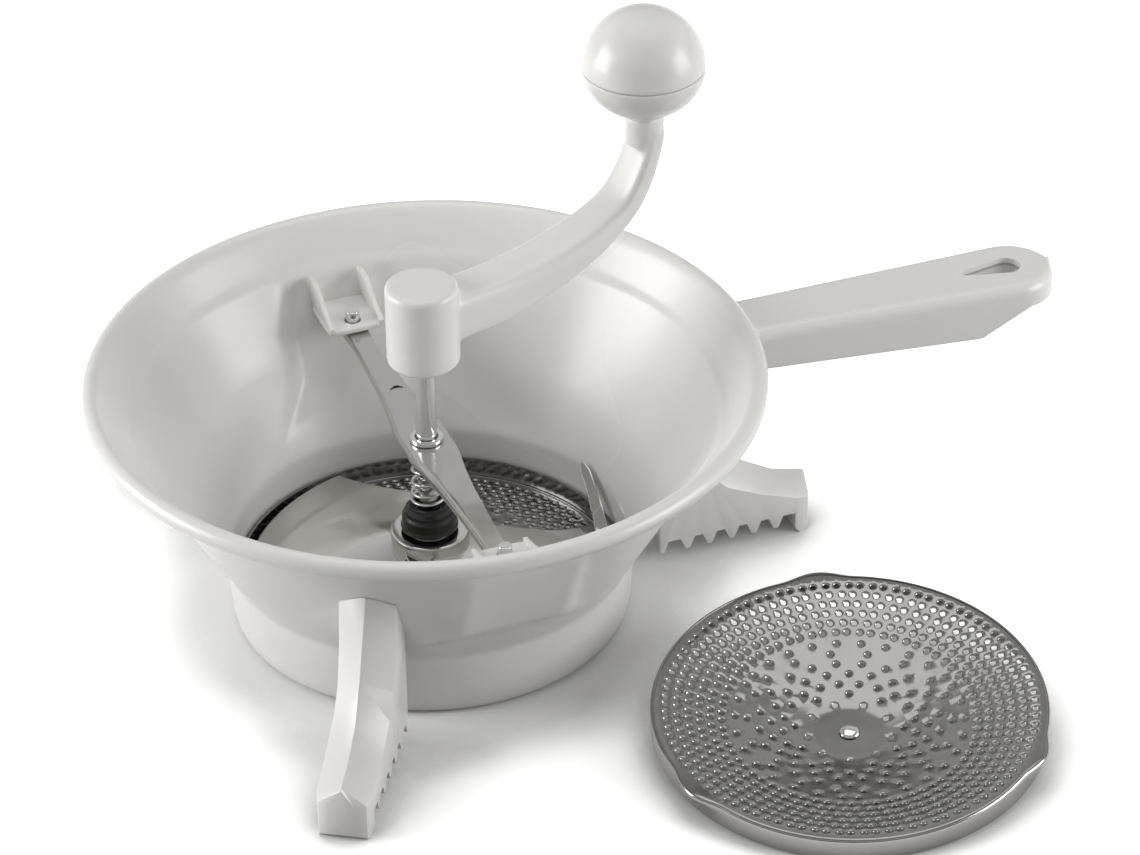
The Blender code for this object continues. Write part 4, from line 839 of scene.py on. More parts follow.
@dataclass
class Bracket:
    """Shelf with a pin hole and two pointed fins in each pocket."""

    bowl: Bowl
    half_w: float = 10.75 * MM
    wall: float = 2.5 * MM
    lip_r: float = 75.0 * MM
    hole_r: float = 2.9 * MM
    hole_at: float = 81.0 * MM
    fin_offset: float = 9.4 * MM
    fin_wall: float = 1.8 * MM
    fin_lip_h: float = 3.6 * MM
    fin_tip_r: float = 92.0 * MM
    fin_tip_h: float = 12.2 * MM
    fin_edge: float = 0.5 * MM
    fin_hollow_power: float = 1.35
    shelf_z: float = 68.6 * MM
    edge: float = 0.6 * MM
    box_power: int = 8
    steps: int = 96

    def wall_r(self, z: float) -> float:
        """Middle of the pocket's wall behind the bracket at a height, also over the pocket's face."""
        over = max(z - self.bowl.pocket_high_z, 0)
        return self.bowl.pocket_face(z) - over - self.bowl.wall / 2

    def shelf(self) -> bpy.types.Mesh:
        """Plate with a hole: rings between a circle and a box, each point at one angle.

        At angle a the box's edge lies out by half / (|cos a|^n + |sin a|^n)^(1/n), which leaves
        its corners a little round. The rings run from the hole's edge out to the box, over its
        edge and back underneath.

        Returns:
            A closed mesh.
        """
        reach = self.wall_r(self.shelf_z)
        middle = np.array([0, (self.lip_r + reach) / 2])
        half = np.array([self.half_w, (reach - self.lip_r) / 2])
        angle = (np.arange(self.steps) + 0.5) * TAU / self.steps
        circle = round_axis(self.hole_r, angle) + (0, self.hole_at)
        n = self.box_power
        reach_out = 1 / (np.abs(np.cos(angle)) ** n + np.abs(np.sin(angle)) ** n) ** (1 / n)
        box = middle + half * round_axis(1, angle) * reach_out[:, None]
        drawn_in = middle + (box - middle) * (1 - self.edge / half)
        low, high = self.shelf_z, self.shelf_z + self.wall
        levels = [(circle, low), (circle, high), (drawn_in, high), (box, high - self.edge),
                  (box, low + self.edge), (drawn_in, low)]
        points = np.stack([np.column_stack([ring, np.full(len(ring), z)]) for ring, z in levels])
        return close_up(make_mesh("shelf", points, grid_faces(len(levels), len(angle), True, True)))

    def fin(self, offset: float) -> bpy.types.Mesh:
        """One fin: its pointed side view, given its thickness.

        Its upper edge is hollow: it falls by one less (1 - t)^n on its way t from tip to lip.

        Args:
            offset: how far it stands from the bracket's middle.

        Returns:
            A closed mesh.
        """
        middle = self.shelf_z + self.wall / 2
        tip_z = self.shelf_z + self.fin_tip_h
        foot, back = self.wall_r(middle), self.wall_r(tip_z)
        t = np.linspace(0, 1, 12)
        fall = self.shelf_z + self.fin_lip_h - tip_z
        upper = np.stack([self.fin_tip_r + (self.lip_r - self.fin_tip_r) * t,
                          tip_z + fall * (1 - (1 - t) ** self.fin_hollow_power)], 1)
        outline = np.concatenate([[(self.lip_r, middle), (foot, middle), (back, tip_z)], upper])
        return prism_mesh("fin", outline, -self.fin_wall / 2, self.fin_wall / 2, across_x(offset))

    def build(self, name: str, turn: float) -> bpy.types.Object:
        """One bracket, turned to its side of the bowl.

        Args:
            name: name of the piece.
            turn: its turn about the crank's axis.

        Returns:
            The finished piece.
        """
        mesh = join_meshes(name, [self.shelf(), self.fin(-self.fin_offset), self.fin(self.fin_offset)])
        obj = make_object(name, mesh)
        add_bevel(obj, self.fin_edge)
        settle(obj, Matrix.Rotation(turn, 4, "Z"))
        shade(obj.data)
        return obj


@dataclass
class Handle:
    """Hollow handle with a rounded tip, cross ribs and a teardrop hanging slot."""

    bowl: Bowl
    reach: float = 237.0 * MM
    root_half_w: float = 10.6 * MM
    tip_half_w: float = 14.0 * MM
    root_top_z: float = 89.3 * MM
    tip_top_z: float = 86.6 * MM
    root_depth: float = 13.0 * MM
    heel_r: float = 207.0 * MM
    heel_depth: float = 16.7 * MM
    lip_r: float = 225.0 * MM
    lip_depth: float = 6.8 * MM
    wall: float = 2.2 * MM
    edge: float = 2.0 * MM
    rib_wall: float = 1.6 * MM
    rib_radii: tuple[float, float] = (160.0 * MM, 199.0 * MM)
    slot_narrow_r: float = 206.3 * MM
    slot_wide_r: float = 222.2 * MM
    slot_narrow_half_w: float = 1.8 * MM
    slot_wide_half_w: float = 5.2 * MM
    collar_wall: float = 1.8 * MM
    gap: float = 0.3 * MM
    mould_edge: float = 0.35 * MM
    mould_crease: float = math.radians(45)
    edge_limit_share: float = 0.98
    # points of the skin's line: up a side, round a corner, over the top, round and down
    line_counts: tuple[int, ...] = (12, 8, 14, 8, 12)

    def top_z(self, x: Array) -> Array:
        """Height of the top face: a straight fall from root to tip."""
        run = (x - self.bowl.rim_r) / (self.reach - self.bowl.rim_r)
        return self.root_top_z + (self.tip_top_z - self.root_top_z) * run

    def half_width(self, x: Array) -> Array:
        """Half width: a straight flare from the rim on, then the tip's half circle.

        Args:
            x: distance from the crank's axis.

        Returns:
            The half width there.
        """
        centre = self.reach - self.tip_half_w
        run = np.clip((x - self.bowl.rim_r) / (centre - self.bowl.rim_r), 0, 1)
        flare = self.root_half_w + (self.tip_half_w - self.root_half_w) * run
        past = np.clip((x - centre) / self.tip_half_w, 0, 1)
        return flare * np.sqrt(1 - past ** 2)

    def depth(self, x: Array) -> Array:
        """Depth of the side walls under the top face."""
        return np.interp(x, [self.bowl.rim_r, self.heel_r, self.lip_r], [
            self.root_depth, self.heel_depth, self.lip_depth])

    def skin(self) -> bpy.types.Mesh:
        """Outer skin: at each place along the handle a line up one side, over the top and down.

        The line's corners are quarter circles, and its foot follows the depth. The first place
        is where the line meets the bowl: x = sqrt(r(z)^2 - y^2).

        Returns:
            An open mesh, which gets its wall later.
        """
        root = self.bowl.flange_r
        centre = self.reach - self.tip_half_w
        straight = root + (centre - root) * np.linspace(0, 1, 90)
        tip = centre + self.tip_half_w * np.sin(np.linspace(0, math.pi / 2, 28))[1:]
        across = np.concatenate([part + np.linspace(0, 1, count)[:-1]
                                 for part, count in enumerate(self.line_counts)]
                                + [[len(self.line_counts)]])
        points = np.stack([self.section(float(x), across) for x in np.concatenate([straight, tip])])
        start = points[0]
        meet = np.sqrt((self.bowl.outer_radius(start[:, 2]) + self.gap) ** 2 - start[:, 1] ** 2)
        share = np.clip((centre - points[:, :, 0]) / (centre - root), 0, 1)
        points[:, :, 0] += share * (meet - root)[None, :]
        mesh = make_mesh("handle_grip", points, grid_faces(len(points), len(across)))
        return close_up(mesh, fill=False, turn_out=False)

    def section(self, x: float, across: Array) -> Array:
        """Points of the skin's line at one place along the handle.

        Args:
            x: distance from the crank's axis.
            across: for each point, the line's part and the share of it that is passed.

        Returns:
            Points (x, y, z).
        """
        half = float(self.half_width(np.array(x)))
        top = float(self.top_z(np.array(x)))
        low = top - float(self.depth(np.array(x)))
        edge = min(self.edge, half * self.edge_limit_share)
        part = np.minimum(across.astype(int), len(self.line_counts) - 1)
        t = across - part
        corner = t * math.pi / 2
        on_part = [part == k for k in range(len(self.line_counts) - 1)]
        y = np.select(on_part, [
            -half + 0 * t, -half + edge - edge * np.cos(corner),
            (-half + edge) * (1 - 2 * t), half - edge + edge * np.sin(corner)], half)
        z = np.select(on_part, [
            low + (top - edge - low) * t, top - edge + edge * np.sin(corner),
            top + 0 * t, top - edge + edge * np.cos(corner)], top - edge + (low - top + edge) * t)
        return np.stack([np.full(len(t), x), y, z], 1)

    def slot(self, grow: float) -> Array:
        """Teardrop outline: two arcs joined by their common tangents.

        Args:
            grow: how far the outline lies outside the slot's edge.

        Returns:
            Points (x, y).
        """
        lean = math.asin((self.slot_wide_half_w - self.slot_narrow_half_w)
                         / (self.slot_wide_r - self.slot_narrow_r))
        side = math.pi / 2 + lean
        wide = arc_points((self.slot_wide_r, 0), self.slot_wide_half_w + grow, -side, side, 40)
        narrow = arc_points((self.slot_narrow_r, 0), self.slot_narrow_half_w + grow, side,
                            TAU - side, 16)
        return np.concatenate([wide, narrow])

    def collar(self) -> bpy.types.Mesh:
        """Wall round the slot under the top face, as a ring between two teardrops.

        Returns:
            A closed mesh.
        """
        inner, outer = self.slot(0.0), self.slot(self.collar_wall)
        low = self.top_z(inner[:, 0]) - self.lip_depth + self.edge / 2
        high = self.top_z(inner[:, 0]) - self.wall / 2
        levels = [np.column_stack([inner, low]), np.column_stack([inner, high]),
                  np.column_stack([outer, high]), np.column_stack([outer, low])]
        return close_up(make_mesh("collar", np.stack(levels), grid_faces(4, len(inner), True, True)))

    def rib(self, x: float) -> bpy.types.Mesh:
        """One cross rib inside the channel.

        Args:
            x: distance from the crank's axis.

        Returns:
            A closed mesh.
        """
        half = float(self.half_width(np.array(x))) - self.wall / 2
        top = float(self.top_z(np.array(x))) - self.wall / 2
        low = top - float(self.depth(np.array(x))) + self.wall
        outline = np.array([(-half, low), (half, low), (half, top), (-half, top)])
        return prism_mesh("rib", outline, -self.rib_wall / 2, self.rib_wall / 2, across_x(x))

    def build(self) -> bpy.types.Object:
        """The whole handle: skin with its thickness, the slot cut out, collar and ribs added.

        Returns:
            The finished piece.
        """
        obj = make_object("handle_grip", self.skin())
        add_sheet(obj, self.wall, -1.0)
        low = self.tip_top_z - self.heel_depth
        high = self.root_top_z + self.wall
        cut_away(obj, prism_mesh("slot", self.slot(0.0), low, high, Matrix.Identity(4)))
        obj.data = join_meshes("handle_grip", [obj.data, self.collar(), *map(self.rib, self.rib_radii)])
        add_bevel(obj, self.mould_edge, 2, self.mould_crease)
        settle(obj)
        shade(obj.data)
        return obj


@dataclass
class Feet:
    """Three feet: the frame's own solids with their edges rounded as in the mould."""

    edge: float = 0.8 * MM
    flat_angle: float = math.radians(1.5)
    edge_angle: float = math.radians(42)
    crease: float = math.radians(40)

    def build(self, node: str) -> bpy.types.Object:
        """A copy of one foot, merged, with flat faces joined and edges rounded.

        Args:
            node: the foot's node.

        Returns:
            The finished piece.
        """
        mesh = frame["nodes"][node].data.copy()
        bm = bmesh.new()
        bm.from_mesh(mesh)
        bmesh.ops.remove_doubles(bm, verts=bm.verts, dist=WELD)
        bmesh.ops.dissolve_limit(bm, angle_limit=self.flat_angle, verts=bm.verts, edges=bm.edges)
        bm.to_mesh(mesh)
        bm.free()
        obj = make_object(node + "_moulding", mesh)
        add_bevel(obj, self.edge, 3, self.edge_angle)
        settle(obj, Matrix.Translation(-AXIS))
        shade(obj.data, self.crease)
        return obj


# Bridge
@dataclass
class Bridge:
    """Pressed bar with one folded edge, its pins and the bush that guides the shaft."""

    top_z: float = 68.3 * MM
    reach: float = 87.0 * MM
    half_w: float = 8.5 * MM
    wall: float = 1.2 * MM
    fold_r: float = 1.8 * MM
    fold_depth: float = 3.6 * MM
    edge: float = 0.25 * MM
    crease: float = math.radians(50)
    shaft_hole_r: float = 4.6 * MM
    seat_gap: float = 0.1 * MM
    pin_at: float = 81.0 * MM
    pin_edge: float = 0.4 * MM
    tail_share: float = 0.92
    tail_edge: float = 0.3 * MM
    bush_bore: float = 4.0 * MM
    bush_edge: float = 0.45 * MM
    bush_foot_share: float = 0.93
    # along the bar, outwards from the shaft: shares of its reach, half width and fold's depth
    station_shares: tuple[tuple[float, float, float], ...] = (
        (0.00, 1.00, 1.00), (0.10, 1.00, 1.00), (0.20, 0.86, 0.98), (0.29, 0.74, 0.95),
        (0.40, 0.64, 0.92), (0.57, 0.53, 0.86), (0.78, 0.45, 0.80), (0.97, 0.44, 0.78),
        (1.00, 0.36, 0.74))
    # the half moon lip over the bar, dressed black as painted shade for the shadow inside the bar's pressed
    # slot
    shade_lip_at: tuple[float, float] = (1.0 * MM, 34.0 * MM)
    shade_lip_r: float = 2.4 * MM
    shade_lip_h: float = 0.5 * MM
    shade_lip_width: float = 0.35 * MM
    shade_lip_sheet: float = 0.2 * MM
    shade_lip_end: float = math.radians(25)

    def bar(self) -> bpy.types.Object:
        """The bar's upper surface: across it a flat run, a quarter circle and the folded edge.

        Along the bar the half width and the fold's depth follow smooth lines through the
        stations, mirrored about the shaft.

        Returns:
            The finished piece.
        """
        stations = np.array(self.station_shares)
        along = np.linspace(-1, 1, 241)
        shape = smooth_through(np.abs(along), stations[:, 0], stations[:, 1:])
        half = self.half_w * shape[:, 0][:, None]
        fold = self.fold_depth * shape[:, 1][:, None]
        t = np.linspace(0, 1, 14)[None, :]
        flat_x = half + (self.fold_r - 2 * half) * t
        turn = np.linspace(0, math.pi / 2, 9)[None, 1:]
        bend_x = self.fold_r - half - self.fold_r * np.sin(turn)
        bend_z = -self.fold_r + self.fold_r * np.cos(turn) + 0 * half
        drop = np.linspace(0, 1, 5)[None, 1:]
        drop_z = -self.fold_r - (fold - self.fold_r) * drop
        x = np.concatenate([flat_x, bend_x, -half + 0 * drop], 1)
        z = np.concatenate([0 * flat_x, bend_z, drop_z], 1) + self.top_z
        y = (along * self.reach)[:, None] + 0 * x
        mesh = make_mesh("bridge_pressing", np.stack([x, y, z], -1), grid_faces(len(along), x.shape[1]))
        obj = make_object("bridge_pressing", mesh)
        low, high = self.top_z - 3 * self.wall, self.top_z + self.wall
        # the wall lies under the surface, whichever way its faces look
        looks_down = mesh.polygons[0].normal.z < 0
        add_sheet(obj, self.wall, 1.0 if looks_down else -1.0)
        cut_away(obj, turned_mesh("hole", soft_rod(self.shaft_hole_r, low, high, self.seat_gap), 48))
        add_bevel(obj, self.edge, 2, self.crease)
        settle(obj)
        shade(obj.data)
        return obj

    def slot_shade_lip(self) -> bpy.types.Object:
        """The half moon pressed up out of the bar: a thin lip along an arc, highest in the middle, which is
        later dressed black as painted shade for the shadow inside its slot.

        Returns:
            The finished piece.
        """
        angle = np.linspace(self.shade_lip_end, math.pi - self.shade_lip_end, 24)
        rise = np.sin((angle - angle[0]) / (angle[-1] - angle[0]) * math.pi)
        radii = np.array([self.shade_lip_r, self.shade_lip_r + self.shade_lip_width])[:, None]
        x = self.shade_lip_at[0] + radii * np.cos(angle)
        y = self.shade_lip_at[1] + radii * np.sin(angle)
        heights = self.top_z + np.stack([rise * self.shade_lip_h, 0 * rise])
        mesh = make_mesh("bridge_slot_shade_lip", np.stack([x, y, heights], -1), grid_faces(2, len(angle)))
        obj = make_object("bridge_slot_shade_lip", mesh)
        add_sheet(obj, self.shade_lip_sheet)
        settle(obj)
        shade(obj.data)
        return obj

    def stud(self, name: str, side: int, node: str) -> bpy.types.Object:
        """One pin: a rod with a rounded top and a riveted tail under the bar.

        Args:
            name: name of the piece.
            side: -1 for the near pin, 1 for the far one.
            node: the pin's node.

        Returns:
            The finished piece.
        """
        radius, low, high = node_sizes(node)
        head = soft_rod(radius, self.top_z + self.seat_gap / 2, high, self.pin_edge)
        tail = soft_rod(radius * self.tail_share, low, self.top_z - self.wall - self.seat_gap,
                        self.tail_edge)
        centre = np.array([0, side * self.pin_at])
        mesh = join_meshes(name, [turned_mesh(name, line, 48, centre=centre) for line in (head, tail)])
        return settle(make_object(name, shade(mesh)))

    def bush(self) -> bpy.types.Object:
        """The bush: a rounded flange over the bar, a swaged foot under it and the shaft's bore.

        Returns:
            The finished piece.
        """
        radius, low, high = node_sizes("bridge_bush")
        flange = soft_ring(self.bush_bore, radius, self.top_z + self.seat_gap, high, self.bush_edge)
        foot = soft_ring(self.bush_bore, radius * self.bush_foot_share, low,
                         self.top_z - self.wall - self.seat_gap, self.edge)
        mesh = join_meshes("bush_ring", [turned_mesh("bush", line, 64, True) for line in (flange, foot)])
        return settle(make_object("bush_ring", shade(mesh)))


# Sieve discs
@dataclass
class SieveDisc:
    """Pressed and punched disc: dome, narrow rim, skirt and a flat boss with its button."""

    radius: float = 68.6 * MM
    sheet: float = 0.8 * MM
    skirt_h: float = 8.2 * MM
    corner: float = 1.4 * MM
    dish_r: float = 65.3 * MM
    dish_depth: float = 13.2 * MM
    dish_power: float = 1.1
    boss_r: float = 12.6 * MM
    hole_r: float = 1.28 * MM
    burr_w: float = 0.50 * MM
    burr_h: float = 0.42 * MM
    ring_first_r: float = 63.6 * MM
    ring_pitch: float = 3.87 * MM
    ring_first_count: int = 96
    ring_count_drop: int = 6
    ring_count: int = 6
    rosette_r: float = 39.6 * MM
    rosette_pitch: float = 4.15 * MM
    rosette_azimuth: float = math.radians(-67.5)
    folds: int = 3
    pair_share: float = 0.05
    hole_sides: int = 12
    burr_mid_share: float = 0.45
    fitted_z: float = 7.6 * MM
    foot_softness: float = 1.4 * MM
    crease: float = math.radians(40)
    rim_steps: int = 288
    boss_steps: int = 96
    boss_mid_r: float = 8.5 * MM
    tail_margin: float = 1.0 * MM
    # circles of the flat net, by how far they lie out from the boss's edge and from the dish's
    boss_circles: tuple[float, ...] = (-0.8 * MM, 0.8 * MM, 2.6 * MM)
    dish_circles: tuple[float, ...] = (0.35 * MM, 1.0 * MM)
    filler_insets: tuple[float, float] = (5.0 * MM, 1.0 * MM)
    filler_pitch: float = 2.6 * MM
    filler_clear: float = 0.7 * MM
    lug_count: int = 3
    lug_spread: float = 1.45
    lug_first: float = math.radians(43)
    lug_r: float = 8.5 * MM
    lug_out: float = 2.6 * MM
    lug_h: float = 5.2 * MM
    button_r: float = 3.6 * MM
    button_stem_r: float = 2.0 * MM
    tail_r: float = 3.0 * MM
    tail_h: float = 0.8 * MM
    button_gap: float = 0.3 * MM
    button_edge: float = 0.2 * MM
    button_dome_h: float = 1.3 * MM
    stem_gap: float = 0.1 * MM
    stem_hole_share: float = 0.98
    # inner rosette: for each of its rings, inwards, the angles from the fold's middle as shares
    # of the fold; each hole but those at 0 and 0.5 has a mirrored twin
    rosette_shares: tuple[tuple[float, ...], ...] = (
        (0.052, 0.157, 0.263, 0.366, 0.467), (0.087, 0.266, 0.438), (0.068, 0.200, 0.333, 0.5),
        (0.0, 0.137, 0.279, 0.425), (0.072, 0.211, 0.352, 0.5), (0.0, 0.296), (0.162, 0.5))

    def rise(self, r: Array) -> Array:
        """Height of the dome over the rim: depth times one less a power of the run from the boss.

        Args:
            r: distance from the disc's axis.

        Returns:
            The height there.
        """
        run = np.clip((r - self.boss_r) / (self.dish_r - self.boss_r), 0, 1)
        dome = self.dish_depth * (1 - run ** self.dish_power)
        return larger(dome, np.zeros_like(dome), self.foot_softness)

    def tail_top(self) -> float:
        """Height of the top of the button's tail over the rim."""
        return self.dish_depth + self.sheet + self.button_gap + self.tail_h

    def holes(self) -> Array:
        """Middles of the punched holes: full rings with every two drawn together, then the rosette.

        Returns:
            Points (x, y).
        """
        rings = []
        for k in range(self.ring_count):
            count = self.ring_first_count - k * self.ring_count_drop
            step = TAU / count
            index = np.arange(count)
            pairs = np.where(index % 2 == 0, self.pair_share, -self.pair_share) * step
            angle = (index + 0.5 * (k % 2)) * step + pairs
            rings.append(np.stack([np.full(count, self.ring_first_r - k * self.ring_pitch), angle], 1))
        for ring, shares in enumerate(self.rosette_shares):
            twins = [-share for share in shares if 0 < share < 0.5]
            fold = np.arange(self.folds)[:, None] + np.array([*shares, *twins])[None, :]
            angle = self.rosette_azimuth + fold.ravel() * TAU / self.folds
            radius = self.rosette_r - ring * self.rosette_pitch
            rings.append(np.stack([np.full(len(angle), radius), angle], 1))
        return round_axis(*np.concatenate(rings).T)

    def level_circles(self) -> list[tuple[float, int]]:
        """Radius and number of points of the net's circles, from the button's stem out to the rim.

        Returns:
            A radius and a count for each circle.
        """
        middle = [(self.button_stem_r, 24), (self.tail_r + self.tail_margin, 32), (self.boss_mid_r, 48)]
        boss = [(self.boss_r + out, self.boss_steps) for out in self.boss_circles]
        foot = [(self.dish_r + out, self.rim_steps) for out in self.dish_circles]
        return [*middle, *boss, *foot, (self.radius - self.corner, self.rim_steps)]

    def plan(self) -> tuple[Array, Array]:
        """Points and triangles of the flat plan with its holes left open.

        Round each hole stand three rings of points, on its edge, on the burr's foot and between
        them, and level circles fill the rest. All of them are joined by a Delaunay net, from
        which the triangles inside a hole are dropped.

        Returns:
            Points (x, y) and triangles.
        """
        middles = self.holes()
        sides = self.hole_sides
        ring = round_axis(1, np.arange(sides) * TAU / sides)
        sizes = [self.hole_r + self.burr_w * share for share in (0, self.burr_mid_share, 1)]
        loops = [middles[:, None, :] + ring[None] * size for size in sizes]
        edge_count = len(middles) * sides
        circles = [round_axis(radius, (np.arange(count) + 0.5) * TAU / count)
                   for radius, count in self.level_circles()]
        spots = self.filler(middles)
        points = np.concatenate([loop.reshape(-1, 2) for loop in loops] + [spots] + circles)
        found = delaunay_2d_cdt([Vector(p) for p in points.tolist()], [], [], 0, SAME_POINT)
        flat = np.array([(v.x, v.y) for v in found[0]])
        source = np.array([ids[0] if ids else -1 for ids in found[3]])
        triangles = np.array(found[2])
        hole_of = np.where((source >= 0) & (source < edge_count), source // sides, -1)
        corners = hole_of[triangles]
        inside = (corners[:, 0] >= 0) & (corners[:, 0] == corners[:, 1]) & (corners[:, 1] == corners[:, 2])
        centre = flat[triangles].mean(1)
        inside |= np.hypot(centre[:, 0], centre[:, 1]) < self.button_stem_r * self.stem_hole_share
        return flat, triangles[~inside]

    @staticmethod
    def to_nearest(spots: Array, middles: Array, batch: int = 4000) -> Array:
        """Distance from each spot to its nearest middle, worked out some thousand spots at a time."""
        parts = [spots[start:start + batch] for start in range(0, len(spots), batch)]
        return np.concatenate([
            np.linalg.norm(part[:, None] - middles[None], axis=2).min(1) for part in parts])

    def filler(self, middles: Array) -> Array:
        """Points on level circles in the places without holes.

        Args:
            middles: middles of the holes.

        Returns:
            Points (x, y).
        """
        circles = []
        first, last = self.boss_r + self.filler_insets[0], self.dish_r - self.filler_insets[1]
        for radius in np.arange(first, last, self.filler_pitch):
            count = int(TAU * radius / self.filler_pitch)
            circles.append(round_axis(radius, np.arange(count) * TAU / count))
        spots = np.concatenate(circles)
        return spots[self.to_nearest(spots, middles) > self.hole_r + self.burr_w + self.filler_clear]

    def sheet_mesh(self, name: str, lugs: bool) -> bpy.types.Mesh:
        """The whole sheet's middle surface in the fitted frame: punched dome, rim, corner and skirt.

        Round a hole the sheet rises by the burr's height times (1 - run)^2, where run goes from 0
        on the hole's edge to 1 at the burr's foot. The corner is a quarter circle and the skirt
        stands straight. Where the disc has lugs, its edge is drawn out to them.

        Args:
            name: name of the mesh.
            lugs: draw the edge out to lugs.

        Returns:
            An open mesh with its faces turned one way.
        """
        flat, triangles = self.plan()
        r = np.hypot(flat[:, 0], flat[:, 1])
        run = np.clip((self.to_nearest(flat, self.holes()) - self.hole_r) / self.burr_w, 0, 1)
        half = self.sheet / 2
        z = self.rise(r) + half + self.burr_h * (1 - run) ** 2
        dome = np.column_stack([flat, z])
        around = (np.arange(self.rim_steps) + 0.5) * TAU / self.rim_steps
        bend = np.linspace(0, math.pi / 2, 7)[1:]
        inner = self.radius - self.corner
        line_r = np.concatenate([inner + (self.corner - half) * np.sin(bend),
                                 np.full(5, self.radius - half)])
        line_z = np.concatenate([self.corner - (self.corner - half) * np.cos(bend),
                                 self.corner + (self.skirt_h - self.corner) * np.linspace(0, 1, 6)[1:]])
        skirt = np.stack([line_r[:, None] * np.cos(around), line_r[:, None] * np.sin(around),
                          line_z[:, None] + 0 * around], -1)
        rim = np.stack([inner * np.cos(around), inner * np.sin(around), half + 0 * around], -1)
        skirt = np.concatenate([rim[None], skirt])
        quads = grid_faces(len(skirt), self.rim_steps, False, True) + len(dome)
        halves = np.concatenate([quads[:, [0, 1, 2]], quads[:, [0, 2, 3]]])
        points = np.concatenate([dome, skirt.reshape(-1, 3)])
        if lugs:
            points = self.draw_lugs(points)
        return close_up(make_mesh(name, points, np.concatenate([triangles, halves])), fill=False)

    def draw_lugs(self, points: Array) -> Array:
        """Move the rim and skirt out to round ears, spaced evenly.

        An ear's edge stands out by a raised cosine of the azimuth, which is spread somewhat wider
        than a circle of the ear's radius. A point past the dish moves out by it, and less the
        further it lies down the skirt.

        Args:
            points: points (x, y, z) of the sheet.

        Returns:
            The moved points.
        """
        r = np.hypot(points[:, 0], points[:, 1])
        azimuth = np.arctan2(points[:, 1], points[:, 0])
        turn = TAU / self.lug_count
        away = np.abs((azimuth - self.lug_first + turn / 2) % turn - turn / 2)
        middle = self.radius + self.lug_out - self.lug_r
        span = self.lug_spread * math.asin(self.lug_r / middle)
        out = self.lug_out * (0.5 + 0.5 * np.cos(np.clip(away / span, 0, 1) * math.pi))
        across = np.clip((r - self.dish_r) / (self.radius - self.sheet - self.dish_r), 0, 1)
        down = np.clip((points[:, 2] - self.corner) / (self.lug_h - self.corner), 0, 1)
        move = out * across * (0.5 + 0.5 * np.cos(down * math.pi))
        scale = (r + move) / np.maximum(r, WELD)
        return points * np.column_stack([scale, scale, np.ones(len(r))])

    def build(self, name: str, lugs: bool, move: Matrix) -> bpy.types.Object:
        """One finished disc in its place.

        Args:
            name: name of the piece.
            lugs: give it lugs.
            move: the turn and shift to its place.

        Returns:
            The finished piece.
        """
        obj = make_object(name, self.sheet_mesh(name, lugs))
        add_sheet(obj, self.sheet)
        settle(obj, move)
        shade(obj.data, self.crease)
        return obj

    def button(self, name: str, move: Matrix) -> bpy.types.Object:
        """The button: domed head under the boss, stem and flat tail over it.

        Args:
            name: name of the piece.
            move: the turn and shift to its place.

        Returns:
            The finished piece.
        """
        top = self.tail_top()
        over = top - self.tail_h
        under = self.dish_depth - self.button_gap
        stem_r = self.button_stem_r - self.stem_gap
        quarter = np.linspace(0, math.pi / 2, 12)
        head = np.stack([self.button_r * np.cos(quarter),
                         under - self.button_edge - self.button_dome_h * np.sin(quarter)], 1)
        line = np.concatenate([[
            (0, top), (self.tail_r - self.button_edge, top), (self.tail_r, top - self.button_edge),
            (self.tail_r, over), (stem_r, over), (stem_r, under), (self.button_r, under)], head])
        return settle(make_object(name, turned_mesh(name, line, 64)), move)


@dataclass
class SpareDisc:
    """Where the spare disc lies: skirt down, leaning on its button and its near rim."""

    disc: SieveDisc
    x: float = 105.5 * MM
    y: float = -133.5 * MM
    lean_azimuth: float = math.radians(-110)

    def place(self) -> Matrix:
        """The turn and shift from the fitted frame to the spare disc's place.

        Returns:
            The turn and shift.
        """
        fall = self.disc.tail_top()
        lean = math.atan((fall - self.disc.skirt_h) / self.disc.radius)
        level = Vector((-math.sin(self.lean_azimuth), math.cos(self.lean_azimuth), 0))
        height = fall * math.cos(lean) + self.disc.tail_r * math.sin(lean)
        turn = Matrix.Rotation(lean, 4, level) @ Matrix.Rotation(math.pi, 4, "X")
        return Matrix.Translation((self.x, self.y, height)) @ turn


